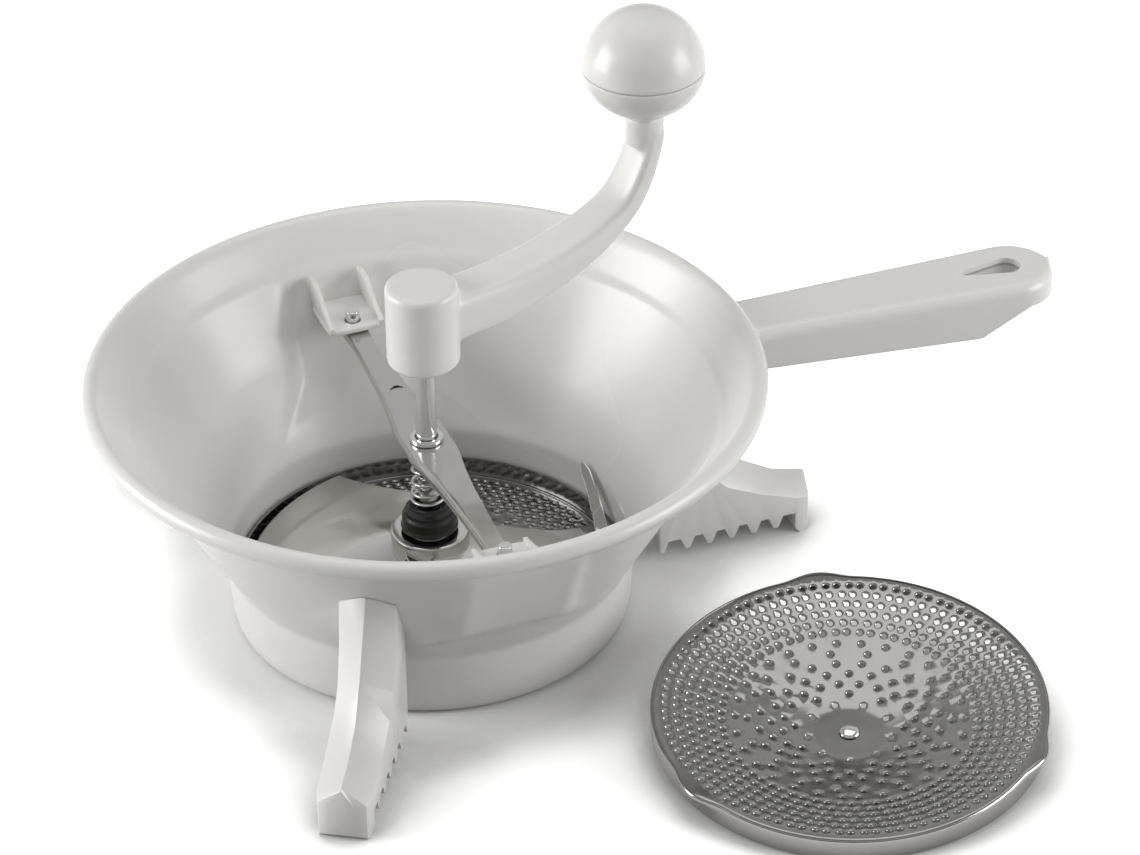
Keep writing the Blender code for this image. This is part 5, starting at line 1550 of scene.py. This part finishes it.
# Blade
@dataclass
class Blade:
    """Pressed blade: a dished middle and two wings that lie over the sieve, with one finger."""

    disc: SieveDisc
    radius: float = 66.0 * MM
    sheet: float = 1.0 * MM
    rim_plane_z: float = 8.4 * MM
    dish_r: float = 14.0 * MM
    dish_top_z: float = 31.0 * MM
    dish_low_z: float = 22.4 * MM
    trail_lift: float = 1.4 * MM
    lead_lift: float = 7.1 * MM
    lift_power: float = 1.3
    finger_rise: float = 17.8 * MM
    # where the finger's tip begins to round, over what run, and the least that is left of it
    finger_tip_shares: tuple[float, float, float] = (0.90, 0.12, 0.02)
    finger_least_share: float = 0.018
    shaft_hole_r: float = 4.0 * MM
    dish_wall: float = 1.2 * MM
    dish_round: float = 0.9 * MM
    dish_step: float = 1.5 * MM
    edge: float = 0.25 * MM
    crease: float = math.radians(50)
    smooth_crease: float = math.radians(40)
    # along a wing, outwards: share of the radius, degrees of its leading and trailing edge
    row_shares: tuple[tuple[float, float, float], ...] = (
        (0.204, -150.0, 28.0), (0.300, -129.0, 22.0), (0.430, -106.5, 16.5), (0.575, -91.5, 9.0),
        (0.720, -84.2, 5.5), (0.870, -80.6, 6.5), (1.000, -78.7, 8.0))
    # up the finger: shares for x and y of its middle, its height and half width, and its lean
    finger_shares: tuple[tuple[float, ...], ...] = (
        (0.950, -0.150, 0.00, 0.030, 0.00), (0.966, -0.060, 0.22, 0.034, 0.15),
        (0.982, 0.060, 0.52, 0.032, 0.30), (0.995, 0.190, 0.78, 0.026, 0.35),
        (0.998, 0.300, 0.97, 0.019, 0.35), (0.998, 0.330, 1.02, 0.008, 0.35))

    def wing(self, turn: float) -> bpy.types.Mesh:
        """One wing: at each radius an arc from leading to trailing edge over the sieve's dome.

        Height = rim plane + dome's rise at the radius + a lift that falls from the leading edge
        by a power of the way across.

        Args:
            turn: the wing's turn about the crank's axis.

        Returns:
            An open mesh.
        """
        rows = np.array(self.row_shares)
        share = np.linspace(rows[0, 0], 1, 60)
        edges = np.radians(smooth_through(share, rows[:, 0], rows[:, 1:]))
        across = np.linspace(0, 1, 64)[None, :]
        azimuth = edges[:, :1] + (edges[:, 1:] - edges[:, :1]) * across + turn
        r = (share * self.radius)[:, None] + 0 * across
        lift = self.trail_lift + (self.lead_lift - self.trail_lift) * (1 - across) ** self.lift_power
        z = self.rim_plane_z + self.disc.rise(r) + lift
        points = np.stack([r * np.cos(azimuth), r * np.sin(azimuth), z], -1)
        return make_mesh("wing", points, grid_faces(*r.shape))

    def finger(self) -> bpy.types.Mesh:
        """The scraper finger: a strip along a smooth line that rises and leans to the wall.

        Its middle, half width and lean follow smooth lines through the shares. Near its tip the
        width falls as sqrt(1 - run^2), which rounds it.

        Returns:
            An open mesh.
        """
        rows = np.array(self.finger_shares)
        foot = (rows[0, 0] - rows[0, 3]) * self.radius
        low = self.rim_plane_z + float(self.disc.rise(np.array([foot]))[0]) + self.trail_lift
        at = np.linspace(rows[0, 2], rows[-1, 2], 40)
        values = smooth_through(at, rows[:, 2], rows[:, [0, 1, 3, 4]])
        centre = np.stack([values[:, 0] * self.radius, values[:, 1] * self.radius,
                           low + at * self.finger_rise], 1)
        lean = values[:, 3]
        across = np.stack([np.ones_like(lean), -lean, lean], 1)
        across /= np.linalg.norm(across, axis=1)[:, None]
        tip_from, tip_run, tip_least = self.finger_tip_shares
        tip = np.sqrt(np.clip(1 - np.clip((at - tip_from) / tip_run, 0, 1) ** 2, tip_least, 1))
        half = np.maximum(values[:, 2], self.finger_least_share) * self.radius * tip
        side = np.linspace(-1, 1, 9)
        points = centre[:, None] + across[:, None] * half[:, None, None] * side[None, :, None]
        return make_mesh("finger", points, grid_faces(len(at), len(side)))

    def build(self) -> bpy.types.Object:
        """Wings and finger as sheets, joined by the turned dish.

        Returns:
            The finished piece.
        """
        sheets = join_meshes("blade_pressing", [self.wing(0.0), self.wing(math.pi), self.finger()])
        obj = make_object("blade_pressing", sheets)
        add_sheet(obj, self.sheet)
        add_bevel(obj, self.edge, 2, self.crease)
        top, low, hole = self.dish_top_z, self.dish_low_z, self.shaft_hole_r
        inner = self.dish_r - self.dish_wall
        corners = [(hole, top - self.sheet), (inner, top - self.sheet), (inner, low),
                   (self.dish_r, low), (self.dish_r, top), (hole, top)]
        line = rounded_line(np.array(corners), self.dish_round, self.dish_step)
        dish = turned_mesh("dish", line, closed=True)
        settle(obj)
        dish.transform(Matrix.Translation(AXIS))
        obj.data = shade(join_meshes("blade_pressing", [obj.data, dish]), self.smooth_crease)
        return obj


# Crank
@dataclass
class Crank:
    """Moulded arm with its hub and neck, and the steel pieces on its axis."""

    hub_r: float = 12.85 * MM
    hub_low_z: float = 101.2 * MM
    hub_h: float = 31.0 * MM
    edge: float = 1.6 * MM
    azimuth: float = math.radians(13.5)
    reach: float = 93.9 * MM
    rise: float = 62.6 * MM
    half_w: float = 9.5 * MM
    neck_r: float = 7.0 * MM
    neck_top_z: float = 169.7 * MM
    neck_sunk: float = 6.0 * MM
    neck_edge: float = 0.4 * MM
    squareness: float = 5.0
    voxel: float = 0.75 * MM
    ease_factor: float = 0.5
    ease_rounds: int = 7
    end_edge: float = 0.5 * MM
    hub_bore: float = 3.9 * MM
    clip_bore: float = 2.4 * MM
    pin_r: float = 2.2 * MM
    pin_head_r: float = 3.6 * MM
    pin_head_h: float = 1.4 * MM
    pin_edge: float = 0.2 * MM
    # upper line (reach, rise), lower line (reach, rise) and half width as shares
    station_shares: tuple[tuple[float, ...], ...] = (
        (0.000, 0.412, 0.000, 0.125, 1.00), (0.150, 0.412, 0.150, 0.128, 1.00),
        (0.298, 0.412, 0.320, 0.136, 0.99), (0.437, 0.431, 0.447, 0.177, 0.97),
        (0.554, 0.460, 0.580, 0.233, 0.95), (0.703, 0.519, 0.745, 0.337, 0.91),
        (0.799, 0.580, 0.852, 0.444, 0.87), (0.863, 0.645, 0.932, 0.556, 0.85),
        (0.918, 0.765, 0.994, 0.708, 0.83), (0.958, 0.904, 1.036, 0.890, 0.81),
        (0.980, 1.000, 1.052, 1.000, 0.78))

    def beam(self) -> bpy.types.Mesh:
        """The arm's beam: a squared oval between its upper and lower line, carried along them.

        A ring's point at angle a lies half the height times sign(sin a) |sin a|^(2/n) from the
        middle and half the width times the same power of cos a to the side.

        Returns:
            A closed mesh.
        """
        rows = np.array(self.station_shares)
        knots = np.arange(len(rows), dtype=float)
        shape = smooth_through(np.linspace(0, len(rows) - 1, 90), knots, rows)
        zero = np.zeros(len(shape))
        top = np.stack([shape[:, 0] * self.reach, zero, self.hub_low_z + shape[:, 1] * self.rise], 1)
        low = np.stack([shape[:, 2] * self.reach, zero, self.hub_low_z + shape[:, 3] * self.rise], 1)
        angle = (np.arange(64) + 0.5) * TAU / 64
        power = 2 / self.squareness
        up = (np.sign(np.sin(angle)) * np.abs(np.sin(angle)) ** power)[None, :, None]
        side = np.sign(np.cos(angle)) * np.abs(np.cos(angle)) ** power
        points = ((top + low) / 2)[:, None] + ((top - low) / 2)[:, None] * up
        points[:, :, 1] = shape[:, 4][:, None] * self.half_w * side[None, :]
        mesh = close_up(make_mesh("beam", points, grid_faces(len(shape), len(angle), False, True)))
        mesh.transform(Matrix.Rotation(self.azimuth, 4, "Z"))
        return mesh

    def arm(self) -> bpy.types.Object:
        """Hub, beam and neck run together: remeshed finely and eased, so that they meet in fillets.

        Returns:
            The finished piece.
        """
        hub_high = self.hub_low_z + self.hub_h
        hub = turned_mesh("hub", soft_rod(self.hub_r, self.hub_low_z, hub_high, self.edge), 128)
        arm_end = self.hub_low_z + self.rise
        line = soft_rod(self.neck_r, arm_end - self.neck_sunk, self.neck_top_z, self.neck_edge)
        neck = turned_mesh("neck", line, centre=KNOB_AXIS)
        obj = make_object("arm_moulding", join_meshes("arm_moulding", [hub, self.beam(), neck]))
        remesh = obj.modifiers.new("run_together", "REMESH")
        remesh.mode = "VOXEL"
        remesh.voxel_size = self.voxel
        ease = obj.modifiers.new("ease", "SMOOTH")
        ease.factor = self.ease_factor
        ease.iterations = self.ease_rounds
        settle(obj)
        obj.data.shade_smooth()
        return obj

    def shaft(self) -> bpy.types.Object:
        """The chromed shaft, turned smooth from the nut to the hub's socket."""
        return turned_piece("shaft_rod", soft_rod(*node_sizes("crank_shaft"), self.end_edge))

    def nut(self) -> bpy.types.Object:
        """The riveted end nut."""
        return turned_piece("end_nut", soft_rod(*node_sizes("shaft_nut"), self.end_edge), 64)

    def spindle(self) -> bpy.types.Object:
        """The knob's spindle with its head.

        Returns:
            The finished piece.
        """
        _, low, high = node_sizes("knob_spindle")
        head_r, under = self.pin_head_r, high - self.pin_head_h
        line = [(0, high), (head_r - self.pin_edge, high), (head_r, high - self.pin_edge),
                (head_r, under), (self.pin_r, under), (self.pin_r, low), (0, low)]
        return turned_piece("spindle_pin", np.array(line), 64, centre=KNOB_AXIS)


@dataclass
class Knob:
    """Ball knob of two mouldings that meet in a fine groove round the middle."""

    radius: float = 21.7 * MM
    low_h: float = 18.0 * MM
    wall: float = 2.2 * MM
    centre_z: float = 188.0 * MM
    foot_share: float = 0.42
    groove: float = 0.45 * MM
    tube_r: float = 5.5 * MM
    tube_h: float = 8.0 * MM
    bore_r: float = 2.5 * MM
    start_angle: float = -0.06
    foot_round: float = 1.2 * MM
    foot_start_share: float = 0.3
    inner_foot_r: float = 8.8 * MM
    steps: int = 128

    def cap(self) -> bpy.types.Object:
        """The upper half: a half ball with a small round at the groove, hollow inside.

        Returns:
            The finished piece.
        """
        seam = self.centre_z + self.groove / 3
        tilt = self.groove / self.radius
        angle = np.linspace(math.pi / 2, 2 * tilt, 44)
        ball = np.stack([self.radius * np.cos(angle), self.centre_z + self.radius * np.sin(angle)], 1)
        lip = arc_points((self.radius - self.groove, seam + self.groove), self.groove,
                         0, -math.pi / 2, EDGE_POINTS)
        inner_r = self.radius - self.wall
        back = np.linspace(tilt, math.pi / 2, 20)
        inside = np.stack([inner_r * np.cos(back), self.centre_z + inner_r * np.sin(back)], 1)
        line = np.concatenate([ball, lip[1:], [(inner_r, seam)], inside])
        line[0, 0] = line[-1, 0] = 0
        return turned_piece("knob_upper", line, self.steps, centre=KNOB_AXIS)

    def base(self) -> bpy.types.Object:
        """The lower half: a flatter half ball with a flat foot, a bored tube and an open top.

        Returns:
            The finished piece.
        """
        seam = self.centre_z - self.groove / 3
        low = self.centre_z - self.low_h
        lip = arc_points((self.radius - self.groove, seam - self.groove), self.groove,
                         math.pi / 2, 0, EDGE_POINTS)
        angle = np.linspace(self.start_angle, -math.acos(self.foot_share), 40)
        ball = np.stack([self.radius * np.cos(angle), self.centre_z + self.low_h * np.sin(angle)], 1)
        foot_z = ball[-1, 1]
        foot = arc_points((ball[-1, 0] - self.foot_round, foot_z), self.foot_round,
                          0, -math.pi / 2, 6)[1:]
        foot[:, 1] = foot_z - (foot_z - low) * np.linspace(self.foot_start_share, 1, len(foot))
        inner_r = self.radius - self.wall
        inner_h = self.low_h - self.wall
        back = np.linspace(-math.acos(self.inner_foot_r / inner_r), 0, 20)
        inside = np.stack([inner_r * np.cos(back), np.maximum(
            self.centre_z + inner_h * np.sin(back), low + self.wall)], 1)
        line = np.concatenate([lip, ball, foot, [
            (self.bore_r, low), (self.bore_r, low + self.tube_h), (self.tube_r, low + self.tube_h),
            (self.tube_r, low + self.wall)], inside[:-1], [(inner_r, seam)]])
        return turned_piece("knob_lower", line, self.steps, True, KNOB_AXIS)


@dataclass
class Press:
    """Black spring cup, thrust washer and the conical pressure spring."""

    cup_bore: float = 4.0 * MM
    washer_bore: float = 4.0 * MM
    cup_round: float = 0.35 * MM
    cup_step: float = 1.0 * MM
    socket_share: float = 0.80
    # outline of the cup from its top down, as shares of its radius and height
    cup_shares: tuple[tuple[float, float], ...] = (
        (0.52, 0.80), (0.56, 1.00), (0.70, 1.00), (0.72, 0.86), (0.84, 0.80), (0.86, 0.62),
        (0.95, 0.54), (0.96, 0.16), (1.00, 0.12), (1.00, 0.00))
    wire_r: float = 0.6 * MM
    spring_low_r: float = 6.0 * MM
    spring_high_r: float = 5.0 * MM
    turns: int = 6
    dead_share: float = 0.6
    turn_steps: int = 48
    wire_sides: int = 14

    def cup(self) -> bpy.types.Object:
        """The bell cup: three steps that narrow upwards, each with a rounded shoulder.

        Returns:
            The finished piece.
        """
        radius, low, high = node_sizes("spring_cup")
        outline = np.array(self.cup_shares) * (radius, high - low) + (0, low)
        socket = (self.cup_bore, low + self.socket_share * (high - low))
        corners = np.concatenate([[socket], outline, [(self.cup_bore, low), socket]])
        line = rounded_line(corners, self.cup_round, self.cup_step)[:-1]
        return turned_piece("cup_moulding", line, closed=True)

    def spring(self) -> bpy.types.Object:
        """The coil: a wire's circle carried along a helix whose radius narrows upwards.

        Height eases as t - (1 - s) sin(2 pi t) / (2 pi), so that the end turns lie flatter.

        Returns:
            The finished piece.
        """
        _, box_low, box_high = node_sizes("pressure_spring")
        low, high = box_low + self.wire_r, box_high - self.wire_r
        t = np.linspace(0, 1, self.turns * self.turn_steps + 1)
        angle = TAU * self.turns * t
        eased = t - (1 - self.dead_share) * np.sin(TAU * t) / TAU
        radius = self.spring_low_r + (self.spring_high_r - self.spring_low_r) * t
        path = np.stack([radius * np.cos(angle), radius * np.sin(angle), low + (high - low) * eased], 1)
        along = np.gradient(path, axis=0)
        along /= np.linalg.norm(along, axis=1)[:, None]
        out = np.stack([np.cos(angle), np.sin(angle), 0 * angle], 1)
        up = np.cross(along, out)
        up /= np.linalg.norm(up, axis=1)[:, None]
        out = np.cross(up, along)
        ring = np.arange(self.wire_sides) * TAU / self.wire_sides
        points = path[:, None] + self.wire_r * (
            np.cos(ring)[None, :, None] * out[:, None] + np.sin(ring)[None, :, None] * up[:, None])
        faces = grid_faces(len(path), self.wire_sides, False, True)
        mesh = close_up(make_mesh("spring_coil", points, faces))
        return settle(make_object("spring_coil", shade(mesh)))


# Studio
@dataclass(frozen=True)
class Softbox:
    """A square lamp: where it stands from the middle of the set, its size and its power."""

    name: str
    right: float
    near: float
    up: float
    size: float
    power: float


@dataclass
class Studio:
    """Camera at the photograph's place, pale floor, soft lamps and a plain room."""

    focal_px: float = 5500.23
    image_width_px: float = 1140.0
    sensor_w_mm: float = 36.0
    clip: tuple[float, float] = (0.05, 50.0)
    place: tuple[float, float, float] = (-0.020779, -1.615710, 1.129516)
    pan: float = math.radians(2.5262)
    tilt: float = math.radians(33.2099)
    roll: float = math.radians(-1.0702)
    handle_turn: float = math.radians(17.4405)
    seen_colour: str = "#f2f2f1"
    bounce_colour: str = "#a9a9a8"
    floor_half_w: float = 6.0
    floor_lift: float = 0.66
    contact_reach: float = 45 * MM
    contact_range: tuple[float, float] = (0.62, 0.95)
    room_strength: float = 0.26
    # height of a direction's tip and the strength that mirrors see there
    mirrored_room: tuple[tuple[float, float], ...] = (
        (0.00, 0.80), (0.04, 0.75), (0.09, 0.16), (0.26, 0.22), (0.42, 0.62), (0.62, 0.66),
        (0.85, 0.30))
    lamps: tuple[Softbox, ...] = (
        Softbox("key", -1.35, 0.05, 0.46, 0.8, 14.5),
        Softbox("fill", 1.40, 0.25, 0.50, 0.8, 11.5),
        Softbox("top", 0.1, -0.3, 1.7, 1.4, 7.0),
    )

    def directions(self) -> tuple[Vector, Vector, Vector]:
        """The camera's right, up and forward in the mill's frame.

        Returns:
            Three unit vectors.
        """
        forward = Vector((math.sin(self.pan) * math.cos(self.tilt),
                          math.cos(self.pan) * math.cos(self.tilt), -math.sin(self.tilt)))
        level = Vector((math.cos(self.pan), -math.sin(self.pan), 0))
        above = level.cross(forward)
        right = math.cos(self.roll) * level + math.sin(self.roll) * above
        up = -math.sin(self.roll) * level + math.cos(self.roll) * above
        turn = Matrix.Rotation(-self.handle_turn, 3, "Z")
        return turn @ right, turn @ up, turn @ forward

    def camera(self) -> None:
        """Make the camera that matches the photograph's perspective."""
        right, up, forward = self.directions()
        data = bpy.data.cameras.new("camera")
        data.sensor_width = self.sensor_w_mm
        data.lens = self.focal_px * data.sensor_width / self.image_width_px
        data.clip_start, data.clip_end = self.clip
        obj = bpy.data.objects.new("camera", data)
        place = Matrix.Rotation(-self.handle_turn, 3, "Z") @ Vector(self.place) + Vector(AXIS)
        columns = Matrix((right, up, -forward)).transposed()
        obj.matrix_world = Matrix.Translation(place) @ columns.to_4x4()
        bpy.context.scene.collection.objects.link(obj)
        bpy.context.scene.camera = obj

    def light(self) -> None:
        """Hang the soft lamps, each turned to the middle of the set."""
        _, _, forward = self.directions()
        near = Vector((-forward.x, -forward.y, 0)).normalized()
        right = Vector((-near.y, near.x, 0))
        for lamp in self.lamps:
            data = bpy.data.lights.new(lamp.name, "AREA")
            data.shape = "SQUARE"
            data.size = lamp.size
            data.energy = lamp.power
            obj = bpy.data.objects.new(lamp.name, data)
            place = right * lamp.right + near * lamp.near + Vector((0, 0, lamp.up))
            obj.location = place
            obj.rotation_euler = (-place).to_track_quat("-Z", "Y").to_euler()
            bpy.context.scene.collection.objects.link(obj)

    def room(self) -> None:
        """The room's light: white to the camera, banded by height to mirrors, dim to the rest.

        Strength = the larger of seen and glossy x band + (1 - glossy) x plain, where seen and
        glossy are 1 for camera or see-through rays and for mirrored ones.
        """
        world = bpy.data.worlds.new("room")
        bpy.context.scene.world = world
        world.use_nodes = True
        tree = world.node_tree
        tree.nodes.clear()
        rays = add_node(tree, "ShaderNodeLightPath").outputs
        seen = add_node(tree, "ShaderNodeMath", {
            0: rays["Is Camera Ray"], 1: rays["Is Transmission Ray"]}, operation="MAXIMUM")
        place = add_node(tree, "ShaderNodeTexCoord")
        parts = add_node(tree, "ShaderNodeSeparateXYZ", {0: place.outputs["Generated"]})
        height = add_node(tree, "ShaderNodeValToRGB", {0: parts.outputs["Z"]})
        stops = height.color_ramp.elements
        made = len(stops)
        for number, (place_z, level) in enumerate(self.mirrored_room):
            stop = stops[number] if number < made else stops.new(place_z)
            stop.position = place_z
            stop.color = (level, level, level, 1)
        glossy = add_node(tree, "ShaderNodeMath", {
            0: rays["Is Glossy Ray"], 1: height.outputs[0]}, operation="MULTIPLY")
        other = add_node(tree, "ShaderNodeMath", {0: 1.0, 1: rays["Is Glossy Ray"]}, operation="SUBTRACT")
        plain = add_node(tree, "ShaderNodeMath", {
            0: other.outputs[0], 1: self.room_strength}, operation="MULTIPLY")
        total = add_node(tree, "ShaderNodeMath", {
            0: glossy.outputs[0], 1: plain.outputs[0]}, operation="ADD")
        strength = add_node(tree, "ShaderNodeMath", {
            0: total.outputs[0], 1: seen.outputs[0]}, operation="MAXIMUM")
        sky = add_node(tree, "ShaderNodeBackground", {
            "Color": (1, 1, 1, 1), "Strength": strength.outputs[0]})
        add_node(tree, "ShaderNodeOutputWorld", {0: sky.outputs[0]})

    def floor(self) -> None:
        """A wide pale floor that shows white where nothing stands near it and keeps the shadows.

        To the camera and to mirrors it glows by the lift times its open share, which falls to
        nothing where a piece stands within the contact reach, so the shadow there stays dark.
        """
        half = self.floor_half_w
        corners = np.array([(-half, -half, 0), (half, -half, 0), (half, half, 0), (-half, half, 0)])
        obj = make_object("floor", make_mesh("floor", corners, np.array([[0, 1, 2, 3]])))
        material, tree, output = empty_material("pale_floor")
        rays = add_node(tree, "ShaderNodeLightPath").outputs
        first = add_node(tree, "ShaderNodeMath", {
            0: rays["Is Camera Ray"], 1: rays["Is Glossy Ray"]}, operation="MAXIMUM")
        seen = add_node(tree, "ShaderNodeMath", {
            0: first.outputs[0], 1: rays["Is Transmission Ray"]}, operation="MAXIMUM")
        full = add_node(tree, "ShaderNodeMath", {
            0: seen.outputs[0], 1: self.floor_lift}, operation="MULTIPLY")
        open_sky = add_node(tree, "ShaderNodeAmbientOcclusion", {"Distance": self.contact_reach}, samples=8)
        clear = add_node(tree, "ShaderNodeMapRange", {
            "Value": open_sky.outputs["AO"], "From Min": self.contact_range[0],
            "From Max": self.contact_range[1]})
        lift = add_node(tree, "ShaderNodeMath", {
            0: full.outputs[0], 1: clear.outputs[0]}, operation="MULTIPLY")
        colour = add_node(tree, "ShaderNodeMix", {
            MIX_FACTOR: seen.outputs[0], MIX_A: linear(self.bounce_colour),
            MIX_B: linear(self.seen_colour)}, data_type="RGBA")
        paint = add_node(tree, "ShaderNodeBsdfDiffuse", {"Color": colour.outputs[MIX_COLOUR]})
        glow = add_node(tree, "ShaderNodeEmission", {"Color": (1, 1, 1, 1), "Strength": lift.outputs[0]})
        both = add_node(tree, "ShaderNodeAddShader", {0: paint.outputs[0], 1: glow.outputs[0]})
        tree.links.new(both.outputs[0], output.inputs[0])
        obj.data.materials.append(material)

    def build(self) -> None:
        """Camera, lamps, room and floor."""
        bpy.context.scene.view_settings.view_transform = "Standard"
        self.camera()
        self.light()
        self.room()
        self.floor()


def build_bowl_group(bench: Bench) -> None:
    """Bowl, brackets, handle and feet.

    Args:
        bench: dresses each piece.
    """
    bowl = Bowl()
    bench.dress(bowl.shell(), WHITE_ABS, "bowl", "bowl")
    bracket = Bracket(bowl)
    bench.dress(bracket.build("bracket_back", 0.0), WHITE_ABS, "bowl")
    near_bracket = Bracket(bowl, fin_tip_h=8.6 * MM)
    bench.dress(near_bracket.build("bracket_front", math.pi), WHITE_ABS, "bowl")
    bench.dress(Handle(bowl).build(), WHITE_ABS, "bowl", "handle")
    feet = Feet()
    for node in ("side_foot", "front_foot", "rear_foot"):
        bench.dress(feet.build(node), WHITE_ABS, "bowl", node)


def build_bridge_group(bench: Bench) -> None:
    """Bridge bar, its half moon lip of painted shade, pins and bush.

    Args:
        bench: dresses each piece.
    """
    bridge = Bridge()
    bench.dress(bridge.bar(), BAR_SHEET, "bowl", "bridge_bar")
    # the half moon lip is dressed in black plastic as painted shade: it stands for the shadow inside the
    # bar's pressed slot, not for a black part
    bench.dress(bridge.slot_shade_lip(), BLACK_ABS, "bowl")
    for name, side, node in (("stud_front", -1, "bridge_pin_front"), ("stud_back", 1, "bridge_pin_back")):
        bench.dress(bridge.stud(name, side, node), CHROMED, "bowl", node)
    bench.dress(bridge.bush(), CHROMED, "bowl", "bridge_bush")


def build_discs(bench: Bench) -> SieveDisc:
    """Both sieve discs with their buttons.

    Args:
        bench: dresses each piece.

    Returns:
        The disc's sizes, which the blade follows.
    """
    disc = SieveDisc()
    fitted = Matrix.Translation((0, 0, disc.fitted_z))
    spare = SpareDisc(disc).place()
    bench.dress(disc.build("fitted_sieve", False, fitted), SIEVE_SHEET, "bowl", "fitted_disc")
    bench.dress(disc.button("fitted_button", fitted), CHROMED, "bowl", "fitted_disc_button")
    bench.dress(disc.build("spare_sieve", True, spare), SIEVE_SHEET, "spare_disc", "spare_disc")
    bench.dress(disc.button("spare_button", spare), CHROMED, "spare_disc", "spare_disc_button")
    return disc


def build_crank_group(bench: Bench, disc: SieveDisc) -> None:
    """Blade, shaft, arm, knob and the pieces threaded on their axes.

    Args:
        bench: dresses each piece.
        disc: sizes of the disc under the blade.
    """
    crank = Crank()
    bench.dress(Blade(disc).build(), MIRROR_SHEET, "crank", "blade")
    bench.dress(crank.shaft(), CHROMED, "crank", "crank_shaft")
    bench.dress(crank.arm(), WHITE_ABS, "crank", "crank_arm")
    bench.dress(crank.nut(), CHROMED, "crank", "shaft_nut")
    bench.dress(ring_piece("hub_ring", "blade_hub", crank.hub_bore), CHROMED, "crank", "blade_hub")
    bench.dress(crank.spindle(), CHROMED, "crank", "knob_spindle")
    bench.dress(ring_piece("clip_ring", "knob_clip", crank.clip_bore), CHROMED, "crank", "knob_clip")
    knob = Knob()
    bench.dress(knob.cap(), WHITE_ABS, "knob", "knob_cap")
    bench.dress(knob.base(), WHITE_ABS, "knob", "knob_base")
    press = Press()
    bench.dress(press.cup(), BLACK_ABS, "press", "spring_cup")
    washer = ring_piece("washer_ring", "thrust_washer", press.washer_bore)
    bench.dress(washer, CHROMED, "press", "thrust_washer")
    coil = bench.dress(press.spring(), SPRING_WIRE, "bowl", "pressure_spring")
    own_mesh(coil)


def main() -> None:
    """Build the set in order."""
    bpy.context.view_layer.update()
    Studio().build()
    bench = Bench()
    build_bowl_group(bench)
    build_bridge_group(bench)
    disc = build_discs(bench)
    build_crank_group(bench, disc)


if __name__ == "__main__":
    main()
